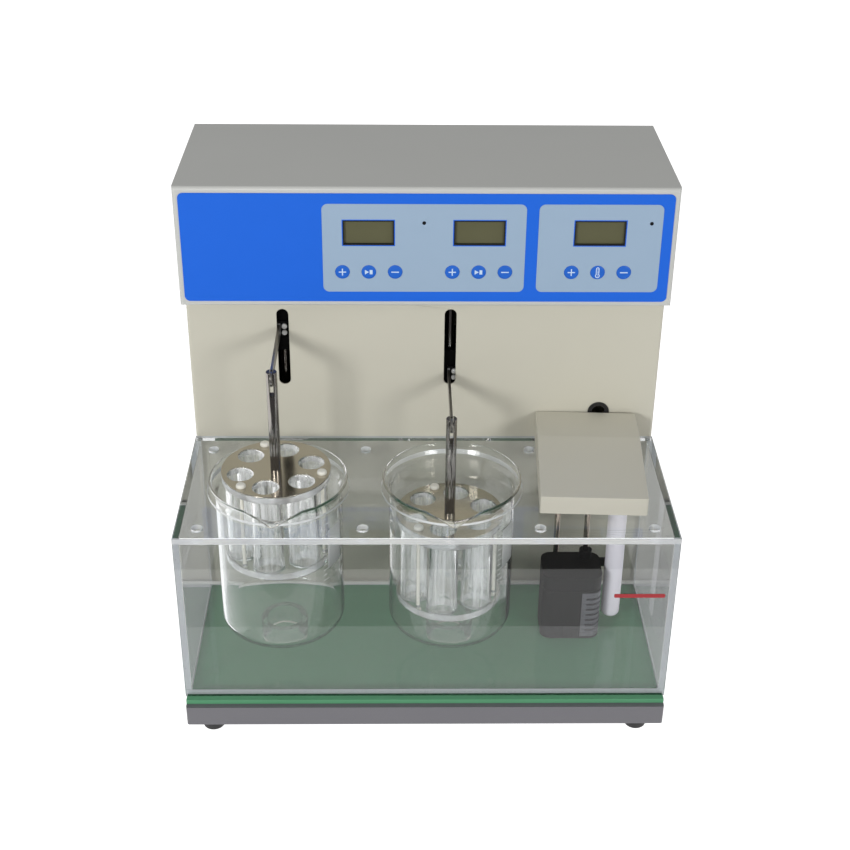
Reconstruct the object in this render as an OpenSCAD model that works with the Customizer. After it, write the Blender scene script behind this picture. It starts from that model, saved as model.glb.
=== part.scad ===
// Two-station tablet disintegration tester.
// A sheet-steel column and control head stand on a low steel base. In front of the
// column a clear acrylic water bath holds two glass beakers through holes in its lid,
// and a heater and circulation pump hang in it under a small loose cover. Two
// crank-driven carriages in the column lift and lower the arms that carry the
// six-tube baskets in the beakers.
// Millimetres. Origin: middle of the footprint, on the bench. +X right, +Y back, +Z up.

/* [Water bath] */
// Width of the bath, and of the column behind it
body_w = 400; // [396:1:430]
// Depth of the bath, front to back
bath_d = 160; // [152:1:180]
// Height of the bath without its lid
bath_h = 153; // [146:1:165]
// Thickness of the acrylic walls and floor
bath_wall = 5; // [4:0.5:8]
// Thickness of the acrylic lid
lid_t = 5; // [4:0.5:8]
// Diameter of the small round holes in the lid
lid_hole_d = 9; // [6:0.5:12]
// Length of the red water-level mark
mark_len = 41; // [30:1:44]
// Height of the level mark below the lid's top
mark_drop = 55; // [40:1:70]

/* [Base] */
// Height of the rubber feet
foot_h = 14; // [12:0.5:20]
// Diameter of a rubber foot
foot_d = 22; // [18:1:28]
// Height of the base tray
base_h = 18; // [14:1:30]
// Sheet thickness of the base tray
base_sheet = 2; // [1.5:0.25:3]
// Ledge of the base in front of the bath
base_ledge = 10; // [8:1:20]
// Thickness of the green pad under the bath
pad_t = 4; // [2:0.5:6]

/* [Column] */
// Depth of the column
col_d = 143; // [138:1:160]
// Sheet thickness of the column, the head and the rear panel
sheet = 1.5; // [1:0.25:2]
// Width of the two arm slots
slot_w = 10; // [9.5:0.5:14]
// Bottom of the arm slots, above the lid's top
slot_rise = 51; // [48:1:60]
// Diameter of the cable hole behind the heater
cable_hole_d = 16.4; // [14:0.2:20]
// Height of the cable hole above the lid's top
cable_rise = 24.5; // [20:0.5:35]

/* [Head] */
// Height of the head
head_h = 103; // [100:1:120]
// Overhang of the head in front of the column
head_over = 15.5; // [13:0.5:20]
// Clear height between the lid's top and the head
head_clear = 132; // [130:1:150]
// Outer bend radius of the head's sheet
head_bend = 3; // [2:0.5:5]
// Margin of the blue front overlay at the sides of the head
overlay_side = 4.5; // [2:0.5:10]
// Margin of the blue front overlay at the top and the bottom of the head
overlay_rim = 4.75; // [2:0.25:8]
// Thickness of the overlay film
overlay_t = 0.6; // [0.4:0.1:1]
// Width of the timer field
timer_field_w = 163.5; // [158:0.5:175]
// Width of the heater field
heater_field_w = 99.5; // [80:0.5:110]
// Height of both control fields
field_h = 76; // [72:0.5:84]
// Width of a display window
lcd_w = 41.5; // [36:0.5:46]
// Height of a display window
lcd_h = 21.5; // [18:0.5:24]
// Diameter of a round key
key_d = 11.8; // [10:0.2:14]
// Distance between neighbouring keys
key_pitch = 21.4; // [18:0.2:24]
// Travel of a key
key_travel = 0.4; // [0.2:0.05:0.45]

/* [Lift] */
// Stroke of the baskets
stroke = 55; // [53:1:57]
// Height of the left arm above its lowest position, as modelled
left_lift = 42.5; // [30:0.5:50]
// Thickness of an arm blade
blade_t = 2; // [1.5:0.25:2.5]
// Height of an arm blade
blade_h = 10; // [9:0.5:12]
// Diameter of the basket rod
rod_d = 9; // [8:0.5:11]
// Length of the basket rod above its basket
rod_len = 90; // [84:1:96]
// Diameter of the pin that hangs on the arm
pin_d = 3; // [2.5:0.1:4]
// Diameter of a guide rod
guide_d = 8; // [6:0.5:10]

/* [Basket] */
// Diameter of the basket plates
basket_d = 90; // [88:0.5:92]
// Overall height of the basket
basket_h = 80; // [76:0.5:84]
// Outer diameter of a glass tube
tube_od = 25.5; // [24:0.25:26]
// Bore of a glass tube
tube_id = 21.5; // [20:0.25:23]
// Radius of the circle of tubes
tube_circle_r = 30; // [29:0.25:31]
// Thickness of the clear plates
disc_t = 6; // [5:0.5:8]
// Thickness of the steel top plate
plate_t = 1; // [0.8:0.1:1.5]
// Hole in the steel plate over each tube
plate_hole_d = 22; // [20:0.5:24]

/* [Beaker] */
// Outer diameter of a beaker
beaker_d = 105; // [103:0.5:108]
// Height of a beaker
beaker_h = 142; // [136:1:150]
// Wall of a beaker
glass_t = 2.5; // [1.5:0.25:3]
// Flare of the rim beyond the wall
rim_flare = 5; // [3:0.5:6]
// Height of the rim above the lid's top
rim_rise = 8; // [8:0.5:12]
// Reach of the pouring lip beyond the rim
spout_reach = 16.5; // [10:0.5:18]
// Outer diameter of the clear ring under a beaker
ring_od = 40; // [34:1:60]
// Wall of that ring
ring_wall = 5; // [3:0.5:8]

/* [Heater] */
// Width of the heater cover
cover_w = 86.5; // [84:0.5:90]
// Depth of the heater cover
cover_d = 124; // [120:0.5:128]
// Height of the heater cover at the back
cover_back_h = 25; // [22:0.5:32]
// Height of the heater cover's front lip
cover_front_h = 16; // [12:0.5:20]
// Turn of the loose cover, seen from above
cover_turn = -2.6; // [-3:0.1:3]
// Diameter of the heater's white sheath
heater_d = 16; // [12:0.5:18]
// Diameter of the probe and of the pump's rod
probe_d = 5; // [4:0.5:6]
// Width of the pump
pump_w = 51; // [44:0.5:52]
// Depth of the pump
pump_d = 40; // [34:0.5:44]
// Height of the pump
pump_h = 64; // [54:0.5:70]

/* [Hidden] */
$fn = 64;

// colours
steel_grey = [0.42, 0.42, 0.44];
cream = [0.78, 0.76, 0.71];
blue = [0.17, 0.42, 0.86];
pale_blue = [0.62, 0.70, 0.80];
clear = [0.80, 0.90, 0.90, 0.35];
polished = [0.75, 0.75, 0.74];
black = [0.08, 0.08, 0.09];
white = [0.92, 0.92, 0.93];
green = [0.33, 0.55, 0.42];
eps = 0.01;

// running and seating clearances
fit = 0.05;
seat = 0.3;
bond = 0.1;

// heights
base_z = foot_h;
pad_z = base_z + base_h;
bath_z = pad_z + pad_t;
floor_z = bath_z + bath_wall;
bath_top = bath_z + bath_h;
lid_top = bath_top + lid_t;
head_z = lid_top + head_clear;
head_top = head_z + head_h;
head_mid = head_z + head_h / 2;

// depths
bath_gap = 1;
screw_head_h = 2.6;
base_d = base_ledge + bath_d + bath_gap + col_d;
front_y = -(base_d + screw_head_h) / 2;
back_y = front_y + base_d;
bath_y0 = front_y + base_ledge;
bath_y1 = bath_y0 + bath_d;
bath_yc = bath_y0 + bath_d / 2;
col_y = bath_y1 + bath_gap;
head_y = col_y - head_over;

// widths
base_w = body_w - 2;
head_fit = 0.5;
head_w = body_w + 2 * (sheet + head_fit);
overlay_w = head_w - 2 * overlay_side;
overlay_h = head_h - 2 * overlay_rim;
left_beaker_in = 78;
left_beaker_x = -body_w / 2 + left_beaker_in;
right_beaker_x = 21.5;
heater_in = 63;
heater_x = body_w / 2 - heater_in;

// base and feet
base_corner_r = 2;
cover_sheet = 1.5;
foot_in_x = 20;
foot_in_y = 18;
foot_taper = 2;
foot_recess_d = 10;
foot_recess_h = 6;
post_d = 10;
screw_d = 4;
screw_head_d = 8;
pad_ledge = 5;

// column
tuck = 20;
flange_w = 12;
col_bend = 2.5;
left_slot_x = left_beaker_x + 2;
right_slot_x = right_beaker_x - 0.5;
slot_margin = 3;
slot_len = stroke + blade_h + 2 * slot_margin;
cable_x = heater_x + 14;
grommet_lip = 1.2;
grommet_wall = 2.6;

// rear panel
panel_t = 1.2;
vent_count = 9;
vent_len = 60;
vent_h = 3;
vent_pitch = 8;
vent_x = 90;
vent_head_drop = 10;
vent_low_rise = 150;
rear_vent_z = [head_mid - vent_head_drop, pad_z + vent_low_rise];
inlet_in = 50;
inlet_x = body_w / 2 - inlet_in;
inlet_z = pad_z + 50;
inlet_w = 27;
inlet_h = 47;
inlet_depth = 26;
inlet_flange = 2;
inlet_flange_t = 2.5;
socket_w = 23;
socket_h = 17;
socket_depth = 16;
socket_up = 8;
contact_w = 2;
contact_h = 4;
switch_off = 42;
switch_x = inlet_x - switch_off;
switch_w = 13;
switch_h = 19;
rocker_swing = 12;
switch_rim = 2;
rocker_in = 1;
rocker_rise = 4;
rocker_hub_r = 2.5;
rocker_gap = 0.3;
switch_in = 1.5;
switch_depth = 18;
rear_screw_in = 7;
rear_screw_rows = 4;
rear_screw_x = body_w / 2 - sheet - rear_screw_in;
rear_screw_z0 = pad_z + 20;
rear_screw_pitch = (head_z - 20 - rear_screw_z0) / (rear_screw_rows - 1);

// control fields
field_side = 8.5;
field_gap = 10;
overlay_r = 4.5;
field_r = 5;
heater_field_x = overlay_w / 2 - field_side - heater_field_w / 2;
timer_field_x = heater_field_x - heater_field_w / 2 - field_gap - timer_field_w / 2;
lcd_off = 44.6;
lcd_up = 13.5;
key_down = 20.5;
lamp_up = 22;
lamp_in = 9;
lcd_x = [timer_field_x - lcd_off, timer_field_x + lcd_off, heater_field_x];
lcd_z = head_mid + lcd_up;
key_z = head_mid - key_down;
lamp_z = head_mid + lamp_up;
lamp_x = [timer_field_x, heater_field_x + heater_field_w / 2 - lamp_in];
lamp_d = 3;
key_dome = 0.3;
key_len = 3.9;
key_fit = 0.15;
key_edge = 1.2;
lcd_frame = 2.2;
lcd_depth = 3;
board_gap = 9;
board_y = head_y + board_gap;
board_t = 1.6;
board_h = 68;
board_in = 6;
standoff_d = 6;
standoff_in = 5;
board_screw_d = 3;
tact_w = 6;
tact_h = 3.5;
tact_pin_d = 3.5;
header_w = 4;
header_h = 6;

// lift
left_hang_x = left_slot_x - 3.5;
right_hang_x = right_slot_x - 0.7;
blade_low_z = lid_top + slot_rise + slot_margin + blade_h / 2;
right_lift = 0;
rod_over = 4.5;
fork_slot_w = blade_t + 1;
fork_slot_depth = 21.5;
pin_drop = 6;
arm_foot_gap = 5;
arm_foot_y = col_y + arm_foot_gap;
arm_foot_w = 9;
arm_foot_h = 14;
arm_screw_d = 4.4;
arm_screw_off = 4.5;
arm_screw_hole = 2.6;
arm_screw_gap = 5.8;
hook_r = 6.5;
arm_screw_head = 2.1;
arm_screw_len = 5;
arm_screw_y = arm_foot_y - 0.5;
arm_screw_end = arm_screw_y + arm_screw_len;
block_y = arm_foot_y + blade_t + bond;
block_d = 14;
block_w = 20;
block_h = 42;
side_guide_off = 24;
wing_t = 10;
yoke_t = 3;
yoke_gap = 2;
yoke_y = block_y + block_d + yoke_gap;
yoke_rise = 20;
yoke_h = 20;
crank_pin_d = 8;
crank_pin_len = 4;
yoke_play = 0.3;
yoke_end = 8;
wing_out = 9;
crank_r = stroke / 2;
crank_gap = 1;
crank_y = yoke_y + yoke_t + crank_gap + crank_pin_len;
crank_t = 6;
crank_rim = 3;
crank_disc_r = crank_r + crank_pin_d / 2 + crank_rim;
crank_z = blade_low_z + crank_r + yoke_rise;
shaft_d = 8;
frame_gap = 6;
frame_y = crank_y + crank_t + frame_gap;
frame_t = 2;
frame_side = 50;
frame_foot = 30;
guide_y = block_y + block_d / 2;
guide_low_over = 16;
guide_high_over = 14;
guide_low_z = crank_z - crank_r - yoke_rise - block_h / 2 - guide_low_over;
guide_high_z = crank_z + crank_r + yoke_h / 2 + guide_high_over;
bracket_t = 3;
bracket_out = 12;
gearbox_s = 60;
gearbox_d = 25;
motor_d = 50;
motor_len = 46;
motor_end_d = 16;
gear_boss_d = 22;
gear_boss_len = 5;
gear_screw_off = 24;
shaft_in = 14;

// transformer
trafo_in = 60;
trafo_w = 66;
trafo_d = 36;
trafo_h = 58;
trafo_foot = 13;
trafo_foot_t = 3;
coil_out = 12;

// basket
tube_count = 6;
basket_turn = 18;
bolt_turn = basket_turn + 90;
bolt_out = 9;
bolt_circle_r = tube_circle_r + bolt_out;
bolt_d = 3;
bolt_cap_d = 8;
bolt_cap_h = 3.2;
bolt_cap_r = 2;
disc_hole_fit = 0.25;
screen_t = 0.6;
screen_pitch = 3.6;
wire_w = 0.8;
bolt_end = 0.7;
tube_len = basket_h - plate_t - screen_t - 2 * bond - bolt_end;
spigot_d = 5;
spigot_nut_d = 9;
spigot_nut_h = 4;
bolt_nut_d = 5.5;
bolt_nut_h = 2;

// beakers and bath
beaker_corner_r = 12;
rim_r = beaker_d / 2 + rim_flare;
rim_h = 14;
lid_clear = 1;
spout_half = 24;
spout_r = 2.6;
spout_wall = 1.7;
spout_dip = 4;
spout_gap = 0.4;
spout_root = 12;
spout_y = -beaker_d / 2 + spout_root;
beaker_z = lid_top + rim_rise - beaker_h;
ring_h = beaker_z - floor_z - bond;
lid_hole_in_x = 18;
lid_hole_front = 16.5;
lid_hole_back = 22;
lid_hole_x = [-body_w / 2 + lid_hole_in_x, (left_beaker_x + right_beaker_x) / 2 - 0.75,
              right_beaker_x + 68.5, body_w / 2 - lid_hole_in_x - 1];
lid_hole_y = [lid_hole_front, bath_d - lid_hole_back];
mark_in = 8.5;
mark_h = 3.6;
mark_t = 0.4;

// heater unit
cover_sheet_t = 1.2;
cover_flat = 42;
cover_gap = 0.8;
notch_w = 20;
notch_h = 14;
cover_yc = col_y - cover_gap - (cover_d * cos(cover_turn) + cover_w * abs(sin(cover_turn))) / 2;
cutout_w = 72;
cutout_d = 58;
plug_w = 68;
plug_d = 50;
plug_h = 6;
plug_back = 2;
plate_flange = 2;
rod_up = 8;
heater_off = [27.5, 95];
heater_tube_x = heater_x + heater_off[0];
heater_tube_y = bath_y0 + heater_off[1];
heater_drop = 142;
probe_off = [-21, 116];
probe_x = heater_x + probe_off[0];
probe_y = bath_y0 + probe_off[1];
probe_drop = 136;
pump_rod_off = [3.6, 106];
pump_rod_x = heater_x + pump_rod_off[0];
pump_rod_y = bath_y0 + pump_rod_off[1];
pump_off = [-9.8, 92];
pump_x = heater_x + pump_off[0];
pump_y = bath_y0 + pump_off[1];
pump_z = floor_z + seat;
pump_corner_r = 9;
pump_cap_h = 13.5;
seam = 0.8;
nozzle_bore = 5;
collar_d = 11;
collar_h = 7;
nozzle_d = 8;
nozzle_len = 7;
nozzle_in_y = 107.5;
nozzle_y = bath_y0 + nozzle_in_y;
nozzle_drop = 96;
strainer_w = 17;
strainer_h = 46;
strainer_t = 2;
strainer_up = 2;
strainer_slots = 7;
strainer_pitch = 5.5;

function arc(cx, cy, r, a0, a1, n) =
    [for (i = [0:n]) let (a = a0 + (a1 - a0) * i / n) [cx + r * cos(a), cy + r * sin(a)]];

// ---------- shared shapes ----------

// rectangle with round corners, centred
module rounded_rect(w, h, r) {
    square([w - 2 * r, h], center = true);
    square([w, h - 2 * r], center = true);
    for (x = [-1, 1], y = [-1, 1])
        translate([x * (w / 2 - r), y * (h / 2 - r)]) circle(r = r);
}

// upright slot with round ends, bottom end at the origin
module slot_outline(w, len) {
    translate([-w / 2, w / 2]) square([w, len - w]);
    for (y = [w / 2, len - w / 2]) translate([0, y]) circle(d = w);
}

// box given by its two opposite corners
module span(a, b) {
    translate(a) cube(b - a);
}

// stands an outline in the XZ plane at depth y, running back by t
module upright(y, t) {
    translate([0, y + t, 0]) rotate([90, 0, 0]) linear_extrude(t) children();
}

// cylinder along Y
module y_cyl(x, y, z, d, len) {
    translate([x, y, z]) rotate([-90, 0, 0]) cylinder(d = d, h = len);
}

module at_feet() {
    for (x = [-1, 1] * (base_w / 2 - foot_in_x), y = [front_y + foot_in_y, back_y - foot_in_y])
        translate([x, y, 0]) children();
}

module at_rear_screws() {
    for (x = [-1, 1] * rear_screw_x, i = [0:rear_screw_rows - 1])
        translate([x, back_y, rear_screw_z0 + i * rear_screw_pitch]) children();
}

// ---------- base ----------

module base_tray() color(steel_grey) {
    difference() {
        translate([0, (front_y + back_y) / 2, base_z]) linear_extrude(base_h)
            rounded_rect(base_w, base_d, base_corner_r);
        span([-base_w / 2 + base_sheet, front_y + base_sheet, base_z - 1],
             [base_w / 2 - base_sheet, back_y - base_sheet, pad_z - base_sheet]);
    }
    at_feet() difference() {
        translate([0, 0, base_z + cover_sheet]) cylinder(d = post_d, h = base_h - cover_sheet - 1);
        translate([0, 0, base_z - 1]) cylinder(d = screw_d + 2 * fit, h = base_h - 4);
    }
}

module bottom_cover() color(steel_grey) difference() {
    span([-base_w / 2 + base_sheet + seat, front_y + base_sheet + seat, base_z],
         [base_w / 2 - base_sheet - seat, back_y - base_sheet - seat, base_z + cover_sheet]);
    at_feet() cylinder(d = screw_d + 1, h = base_h + base_z);
    for (i = [0:vent_count - 1], s = [-1, 1])
        translate([s * vent_x - vent_len / 2,
                   (i - (vent_count - 1) / 2) * vent_pitch + back_y / 2, 0])
            cube([vent_len, vent_h, pad_z]);
}

module rubber_feet() color(black) at_feet() difference() {
    rotate_extrude() polygon(concat(
        [[0, 0], [foot_d / 2 - foot_taper - 1, 0]],
        arc(foot_d / 2 - foot_taper - 1, 1, 1, -90, 0, 4),
        [[foot_d / 2, foot_h], [0, foot_h]]));
    translate([0, 0, -1]) cylinder(d = foot_recess_d, h = foot_recess_h + 1);
    cylinder(d = screw_d + 1, h = foot_h + 1);
}

// pan-head screws: four up through the feet, the rest through the rear panel
module case_screws() color(polished) {
    at_feet() {
        translate([0, 0, foot_recess_h - screw_head_h])
            cylinder(d = screw_head_d, h = screw_head_h);
        translate([0, 0, foot_recess_h - 1]) cylinder(d = screw_d, h = foot_h);
    }
    at_rear_screws() rotate([90, 0, 0]) {
        translate([0, 0, -screw_head_h]) cylinder(d = screw_head_d, h = screw_head_h);
        translate([0, 0, -1]) cylinder(d = screw_d, h = 8);
    }
}

module tank_pad() color(green)
    span([-base_w / 2, front_y + pad_ledge, pad_z], [base_w / 2, bath_y1, bath_z]);

// ---------- column ----------

// U of folded sheet, with lips at the back for the rear panel
module column_plan() {
    difference() {
        union() {
            translate([-body_w / 2 + col_bend, col_y]) square([body_w - 2 * col_bend, col_bend]);
            translate([-body_w / 2, col_y + col_bend]) square([body_w, col_d - col_bend]);
            for (s = [-1, 1])
                translate([s * (body_w / 2 - col_bend), col_y + col_bend]) circle(r = col_bend);
        }
        translate([-body_w / 2 + sheet, col_y + sheet])
            square([body_w - 2 * sheet, col_d]);
    }
    for (s = [-1, 1])
        translate([s * (body_w / 2 - flange_w / 2) - flange_w / 2, back_y - panel_t - sheet])
            square([flange_w, sheet]);
}

module column_shell() color(cream) difference() {
    union() {
        translate([0, 0, pad_z]) linear_extrude(head_z + tuck - pad_z) column_plan();
        for (s = [-1, 1])
            translate([s * (body_w / 2 - flange_w / 2) - flange_w / 2, col_y + col_bend, pad_z])
                cube([flange_w, col_d - col_bend - panel_t, sheet]);
    }
    for (x = [left_slot_x, right_slot_x])
        translate([x, 0, lid_top + slot_rise]) upright(col_y - 1, sheet + 2)
            slot_outline(slot_w, slot_len);
    y_cyl(cable_x, col_y - 1, lid_top + cable_rise, cable_hole_d, sheet + 2);
    at_rear_screws() rotate([90, 0, 0]) cylinder(d = screw_d + 1, h = 6);
}

module cable_grommet() color(black) difference() {
    union() {
        y_cyl(cable_x, col_y - grommet_lip, lid_top + cable_rise, cable_hole_d + 2, grommet_lip);
        y_cyl(cable_x, col_y - eps, lid_top + cable_rise, cable_hole_d - 2 * fit, sheet + 2 * eps);
        y_cyl(cable_x, col_y + sheet, lid_top + cable_rise, cable_hole_d + 2, grommet_lip);
    }
    y_cyl(cable_x, col_y - 5, lid_top + cable_rise, cable_hole_d - 2 * grommet_wall, sheet + 10);
}

module rear_panel() color(cream) {
    half_low = body_w / 2 - sheet - seat;
    half_high = head_w / 2 - sheet - seat;
    upright(back_y - panel_t, panel_t) difference() {
        union() {
            translate([-half_low, pad_z + seat])
                square([2 * half_low, head_top - sheet - pad_z - 2 * seat]);
            translate([-half_high, head_z + tuck + seat])
                square([2 * half_high, head_top - sheet - head_z - tuck - 2 * seat]);
        }
        for (i = [0:vent_count - 1], s = [-1, 1], z = rear_vent_z)
            translate([s * vent_x - vent_len / 2, z + (i - (vent_count - 1) / 2) * vent_pitch])
                square([vent_len, vent_h]);
        translate([inlet_x, inlet_z]) square([inlet_w, inlet_h], center = true);
        translate([switch_x, inlet_z]) square([switch_w, switch_h], center = true);
        for (x = [-1, 1] * rear_screw_x, i = [0:rear_screw_rows - 1])
            translate([x, rear_screw_z0 + i * rear_screw_pitch]) circle(d = screw_d + 1);
    }
}

// mains inlet with fuse drawer, and the frame of the rocker switch
module power_fittings() color(black) {
    difference() {
        union() {
            translate([inlet_x, 0, inlet_z]) upright(back_y, inlet_flange_t)
                rounded_rect(inlet_w + 2 * inlet_flange, inlet_h + 2 * inlet_flange, 3);
            span([inlet_x - inlet_w / 2 + seat, back_y - inlet_depth,
                  inlet_z - inlet_h / 2 + seat],
                 [inlet_x + inlet_w / 2 - seat, back_y + 1, inlet_z + inlet_h / 2 - seat]);
        }
        translate([inlet_x, 0, inlet_z + socket_up])
            upright(back_y - socket_depth, 2 * socket_depth)
                rounded_rect(socket_w, socket_h, 2);
        span([inlet_x - socket_w / 2, back_y + 1.5, inlet_z - inlet_h / 2 + 3],
             [inlet_x + socket_w / 2, back_y + 4, inlet_z - 6]);
    }
    for (p = [[-7, -2], [7, -2], [0, 2]])
        span([inlet_x + p[0] - contact_w / 2, back_y - socket_depth - 1,
              inlet_z + socket_up + p[1] - contact_h / 2],
             [inlet_x + p[0] + contact_w / 2, back_y - 1,
              inlet_z + socket_up + p[1] + contact_h / 2]);
    difference() {
        union() {
            translate([switch_x, 0, inlet_z]) upright(back_y, switch_rim)
                rounded_rect(switch_w + 2, switch_h + 3, 1);
            span([switch_x - switch_w / 2 + seat, back_y - switch_depth,
                  inlet_z - switch_h / 2 + seat],
                 [switch_x + switch_w / 2 - seat, back_y + 1, inlet_z + switch_h / 2 - seat]);
        }
        span([switch_x - switch_w / 2 + switch_in, back_y - switch_depth + 6,
              inlet_z - switch_h / 2 + switch_in],
             [switch_x + switch_w / 2 - switch_in, back_y + 5, inlet_z + switch_h / 2 - switch_in]);
    }
}

// rocker with a shallow V face, tilted on its pivot towards the side that is pressed
module switch_rocker() color(black) {
    half = switch_h / 2 - switch_in - 2 * rocker_gap;
    width = switch_w - 2 * switch_in - 2 * rocker_gap;
    translate([switch_x - width / 2, back_y - rocker_in, inlet_z])
        rotate([0, 90, 0]) linear_extrude(width) rotate(-rocker_swing / 2) {
            polygon([[-half, rocker_rise], [-half, 0], [half, 0], [half, rocker_rise],
                     [0, rocker_rise - 1]]);
            circle(r = rocker_hub_r);
        }
}

// ---------- head ----------

module key_positions(xs = lcd_x) {
    for (x = xs, i = [-1:1]) translate([x + i * key_pitch, key_z]) children();
}

module head_shell() color(cream) difference() {
    intersection() {
        translate([0, 0, head_z]) linear_extrude(head_h)
            translate([0, (head_y + back_y) / 2])
                rounded_rect(head_w, back_y - head_y, head_bend);
        translate([-head_w, 0, 0]) rotate([90, 0, 90]) linear_extrude(2 * head_w)
            translate([(head_y + back_y) / 2, head_mid])
                rounded_rect(back_y - head_y, head_h, head_bend);
    }
    span([-head_w / 2 + sheet, head_y + sheet, head_z + sheet],
         [head_w / 2 - sheet, back_y + 1, head_top - sheet]);
    span([-head_w / 2 + sheet, col_y - head_fit, head_z - 1],
         [head_w / 2 - sheet, back_y + 1, head_z + sheet + 1]);
    for (x = lcd_x) translate([x, 0, lcd_z]) upright(head_y - 1, sheet + 2)
        square([lcd_w, lcd_h], center = true);
    upright(head_y - 1, sheet + 2) key_positions() circle(d = key_d + 2 * key_fit + 0.3);
    for (x = lamp_x) y_cyl(x, head_y - 1, lamp_z, lamp_d + 2 * fit, sheet + 2);
}

module front_overlay() color(blue) upright(head_y - overlay_t, overlay_t) difference() {
    translate([0, head_mid]) rounded_rect(overlay_w, overlay_h, overlay_r);
    translate([timer_field_x, head_mid])
        rounded_rect(timer_field_w + 2 * fit, field_h + 2 * fit, field_r);
    translate([heater_field_x, head_mid])
        rounded_rect(heater_field_w + 2 * fit, field_h + 2 * fit, field_r);
}

module control_fields() color(pale_blue) upright(head_y - overlay_t, overlay_t) difference() {
    union() {
        translate([timer_field_x, head_mid]) rounded_rect(timer_field_w, field_h, field_r);
        translate([heater_field_x, head_mid]) rounded_rect(heater_field_w, field_h, field_r);
    }
    for (x = lcd_x) translate([x, lcd_z]) square([lcd_w, lcd_h], center = true);
    key_positions() circle(d = key_d + 2 * key_fit);
    for (x = lamp_x) translate([x, lamp_z]) circle(d = lamp_d + 2 * fit);
}

module lcd_displays() color([0.40, 0.40, 0.30]) for (x = lcd_x)
    translate([x, 0, lcd_z]) upright(head_y + sheet + bond, lcd_depth)
        square([lcd_w + 2 * lcd_frame, lcd_h + 2 * lcd_frame], center = true);

module indicator_lamps() color(black) for (x = lamp_x) {
    y_cyl(x, head_y - overlay_t, lamp_z, lamp_d, overlay_t + sheet + 1);
    y_cyl(x, head_y + sheet + bond, lamp_z, lamp_d + 1.5, board_y - head_y - sheet - 2 * bond);
}

// one board behind each field, on four posts, with a push switch behind every key
module control_board(x, w, keys, lcds) {
    post_x = w / 2 - standoff_in;
    post_z = board_h / 2 - standoff_in;
    wall_y = head_y + sheet;
    difference() {
        translate([x, 0, head_mid]) upright(board_y, board_t) square([w, board_h], center = true);
        for (sx = [-1, 1] * post_x, sz = [-1, 1] * post_z)
            y_cyl(x + sx, board_y - 1, head_mid + sz, board_screw_d, board_t + 2);
    }
    for (sx = [-1, 1] * post_x, sz = [-1, 1] * post_z) difference() {
        y_cyl(x + sx, wall_y, head_mid + sz, standoff_d, board_y - wall_y);
        y_cyl(x + sx, wall_y + 1, head_mid + sz, board_screw_d, board_y - wall_y);
    }
    tact_front = head_y - overlay_t - key_dome + key_len + key_travel + bond;
    for (kx = keys, i = [-1:1])
        translate([kx + i * key_pitch, 0, key_z]) {
            span([-tact_w / 2, board_y - tact_h, -tact_w / 2], [tact_w / 2, board_y, tact_w / 2]);
            y_cyl(0, tact_front, 0, tact_pin_d, board_y - tact_front);
        }
    for (lx = lcds, s = [-1, 1]) translate([lx + s * lcd_w / 2, 0, lcd_z])
        span([-header_w / 2, wall_y + lcd_depth + 2 * bond, -header_h / 2],
             [header_w / 2, board_y, header_h / 2]);
}

module control_boards() color([0.10, 0.35, 0.20]) {
    control_board(timer_field_x, timer_field_w - 2 * board_in, [lcd_x[0], lcd_x[1]],
                  [lcd_x[0], lcd_x[1]]);
    control_board(heater_field_x, heater_field_w - 2 * board_in, [lcd_x[2]], [lcd_x[2]]);
}

// membrane key: a shallow dome that stands just proud of the field
module key(i, j) color(pale_blue)
    translate([lcd_x[i] + j * key_pitch, head_y - overlay_t - key_dome, key_z])
        rotate([-90, 0, 0]) rotate_extrude() polygon([
            [0, 0], [key_d / 2 - key_edge, 0], [key_d / 2, key_dome], [key_d / 2, key_len],
            [0, key_len]]);

// ---------- drive inside the column ----------

// laminated core on a foot plate, with the coil showing at the front and the back
module transformer() color([0.30, 0.30, 0.32])
    translate([body_w / 2 - trafo_in, (col_y + back_y) / 2, pad_z]) {
        span([-trafo_w / 2 - trafo_foot, -trafo_d / 2, 0],
             [trafo_w / 2 + trafo_foot, trafo_d / 2, trafo_foot_t]);
        span([-trafo_w / 2, -trafo_d / 2, 0], [trafo_w / 2, trafo_d / 2, trafo_h]);
        span([-trafo_w * 0.3, -trafo_d / 2 - coil_out, trafo_h * 0.2],
             [trafo_w * 0.3, trafo_d / 2 + coil_out, trafo_h * 0.8]);
    }

// upright plate that carries both motors, with tabs that hold the guide rods
module motor_frame() color([0.60, 0.60, 0.62]) difference() {
    x0 = left_slot_x - frame_side;
    x1 = right_slot_x + frame_side;
    union() {
        span([x0, frame_y, pad_z], [x1, frame_y + frame_t, guide_high_z + bracket_t]);
        span([x0, frame_y, pad_z], [x1, frame_y + frame_foot, pad_z + frame_t]);
        for (x = [left_slot_x, right_slot_x], z = [guide_low_z - bracket_t, guide_high_z])
            span([x - bracket_out, guide_y - guide_d, z],
                 [x + side_guide_off + bracket_out, frame_y + eps, z + bracket_t]);
    }
    for (x = [left_slot_x, right_slot_x]) {
        y_cyl(x, frame_y - 1, crank_z, gear_boss_d + 2, frame_t + 2);
        for (o = [0, side_guide_off]) translate([x + o, guide_y, guide_low_z - 10])
            cylinder(d = guide_d + 2 * fit, h = guide_high_z - guide_low_z + 20);
        for (sx = [-1, 1] * gear_screw_off, sz = [-1, 1] * gear_screw_off)
            y_cyl(x + sx, frame_y - 1, crank_z + sz, screw_d, frame_t + 2);
    }
}

module guide_rods() color(polished)
    for (x = [left_slot_x, right_slot_x], o = [0, side_guide_off])
        translate([x + o, guide_y, guide_low_z - bracket_t])
            cylinder(d = guide_d, h = guide_high_z - guide_low_z + 2 * bracket_t);

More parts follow.
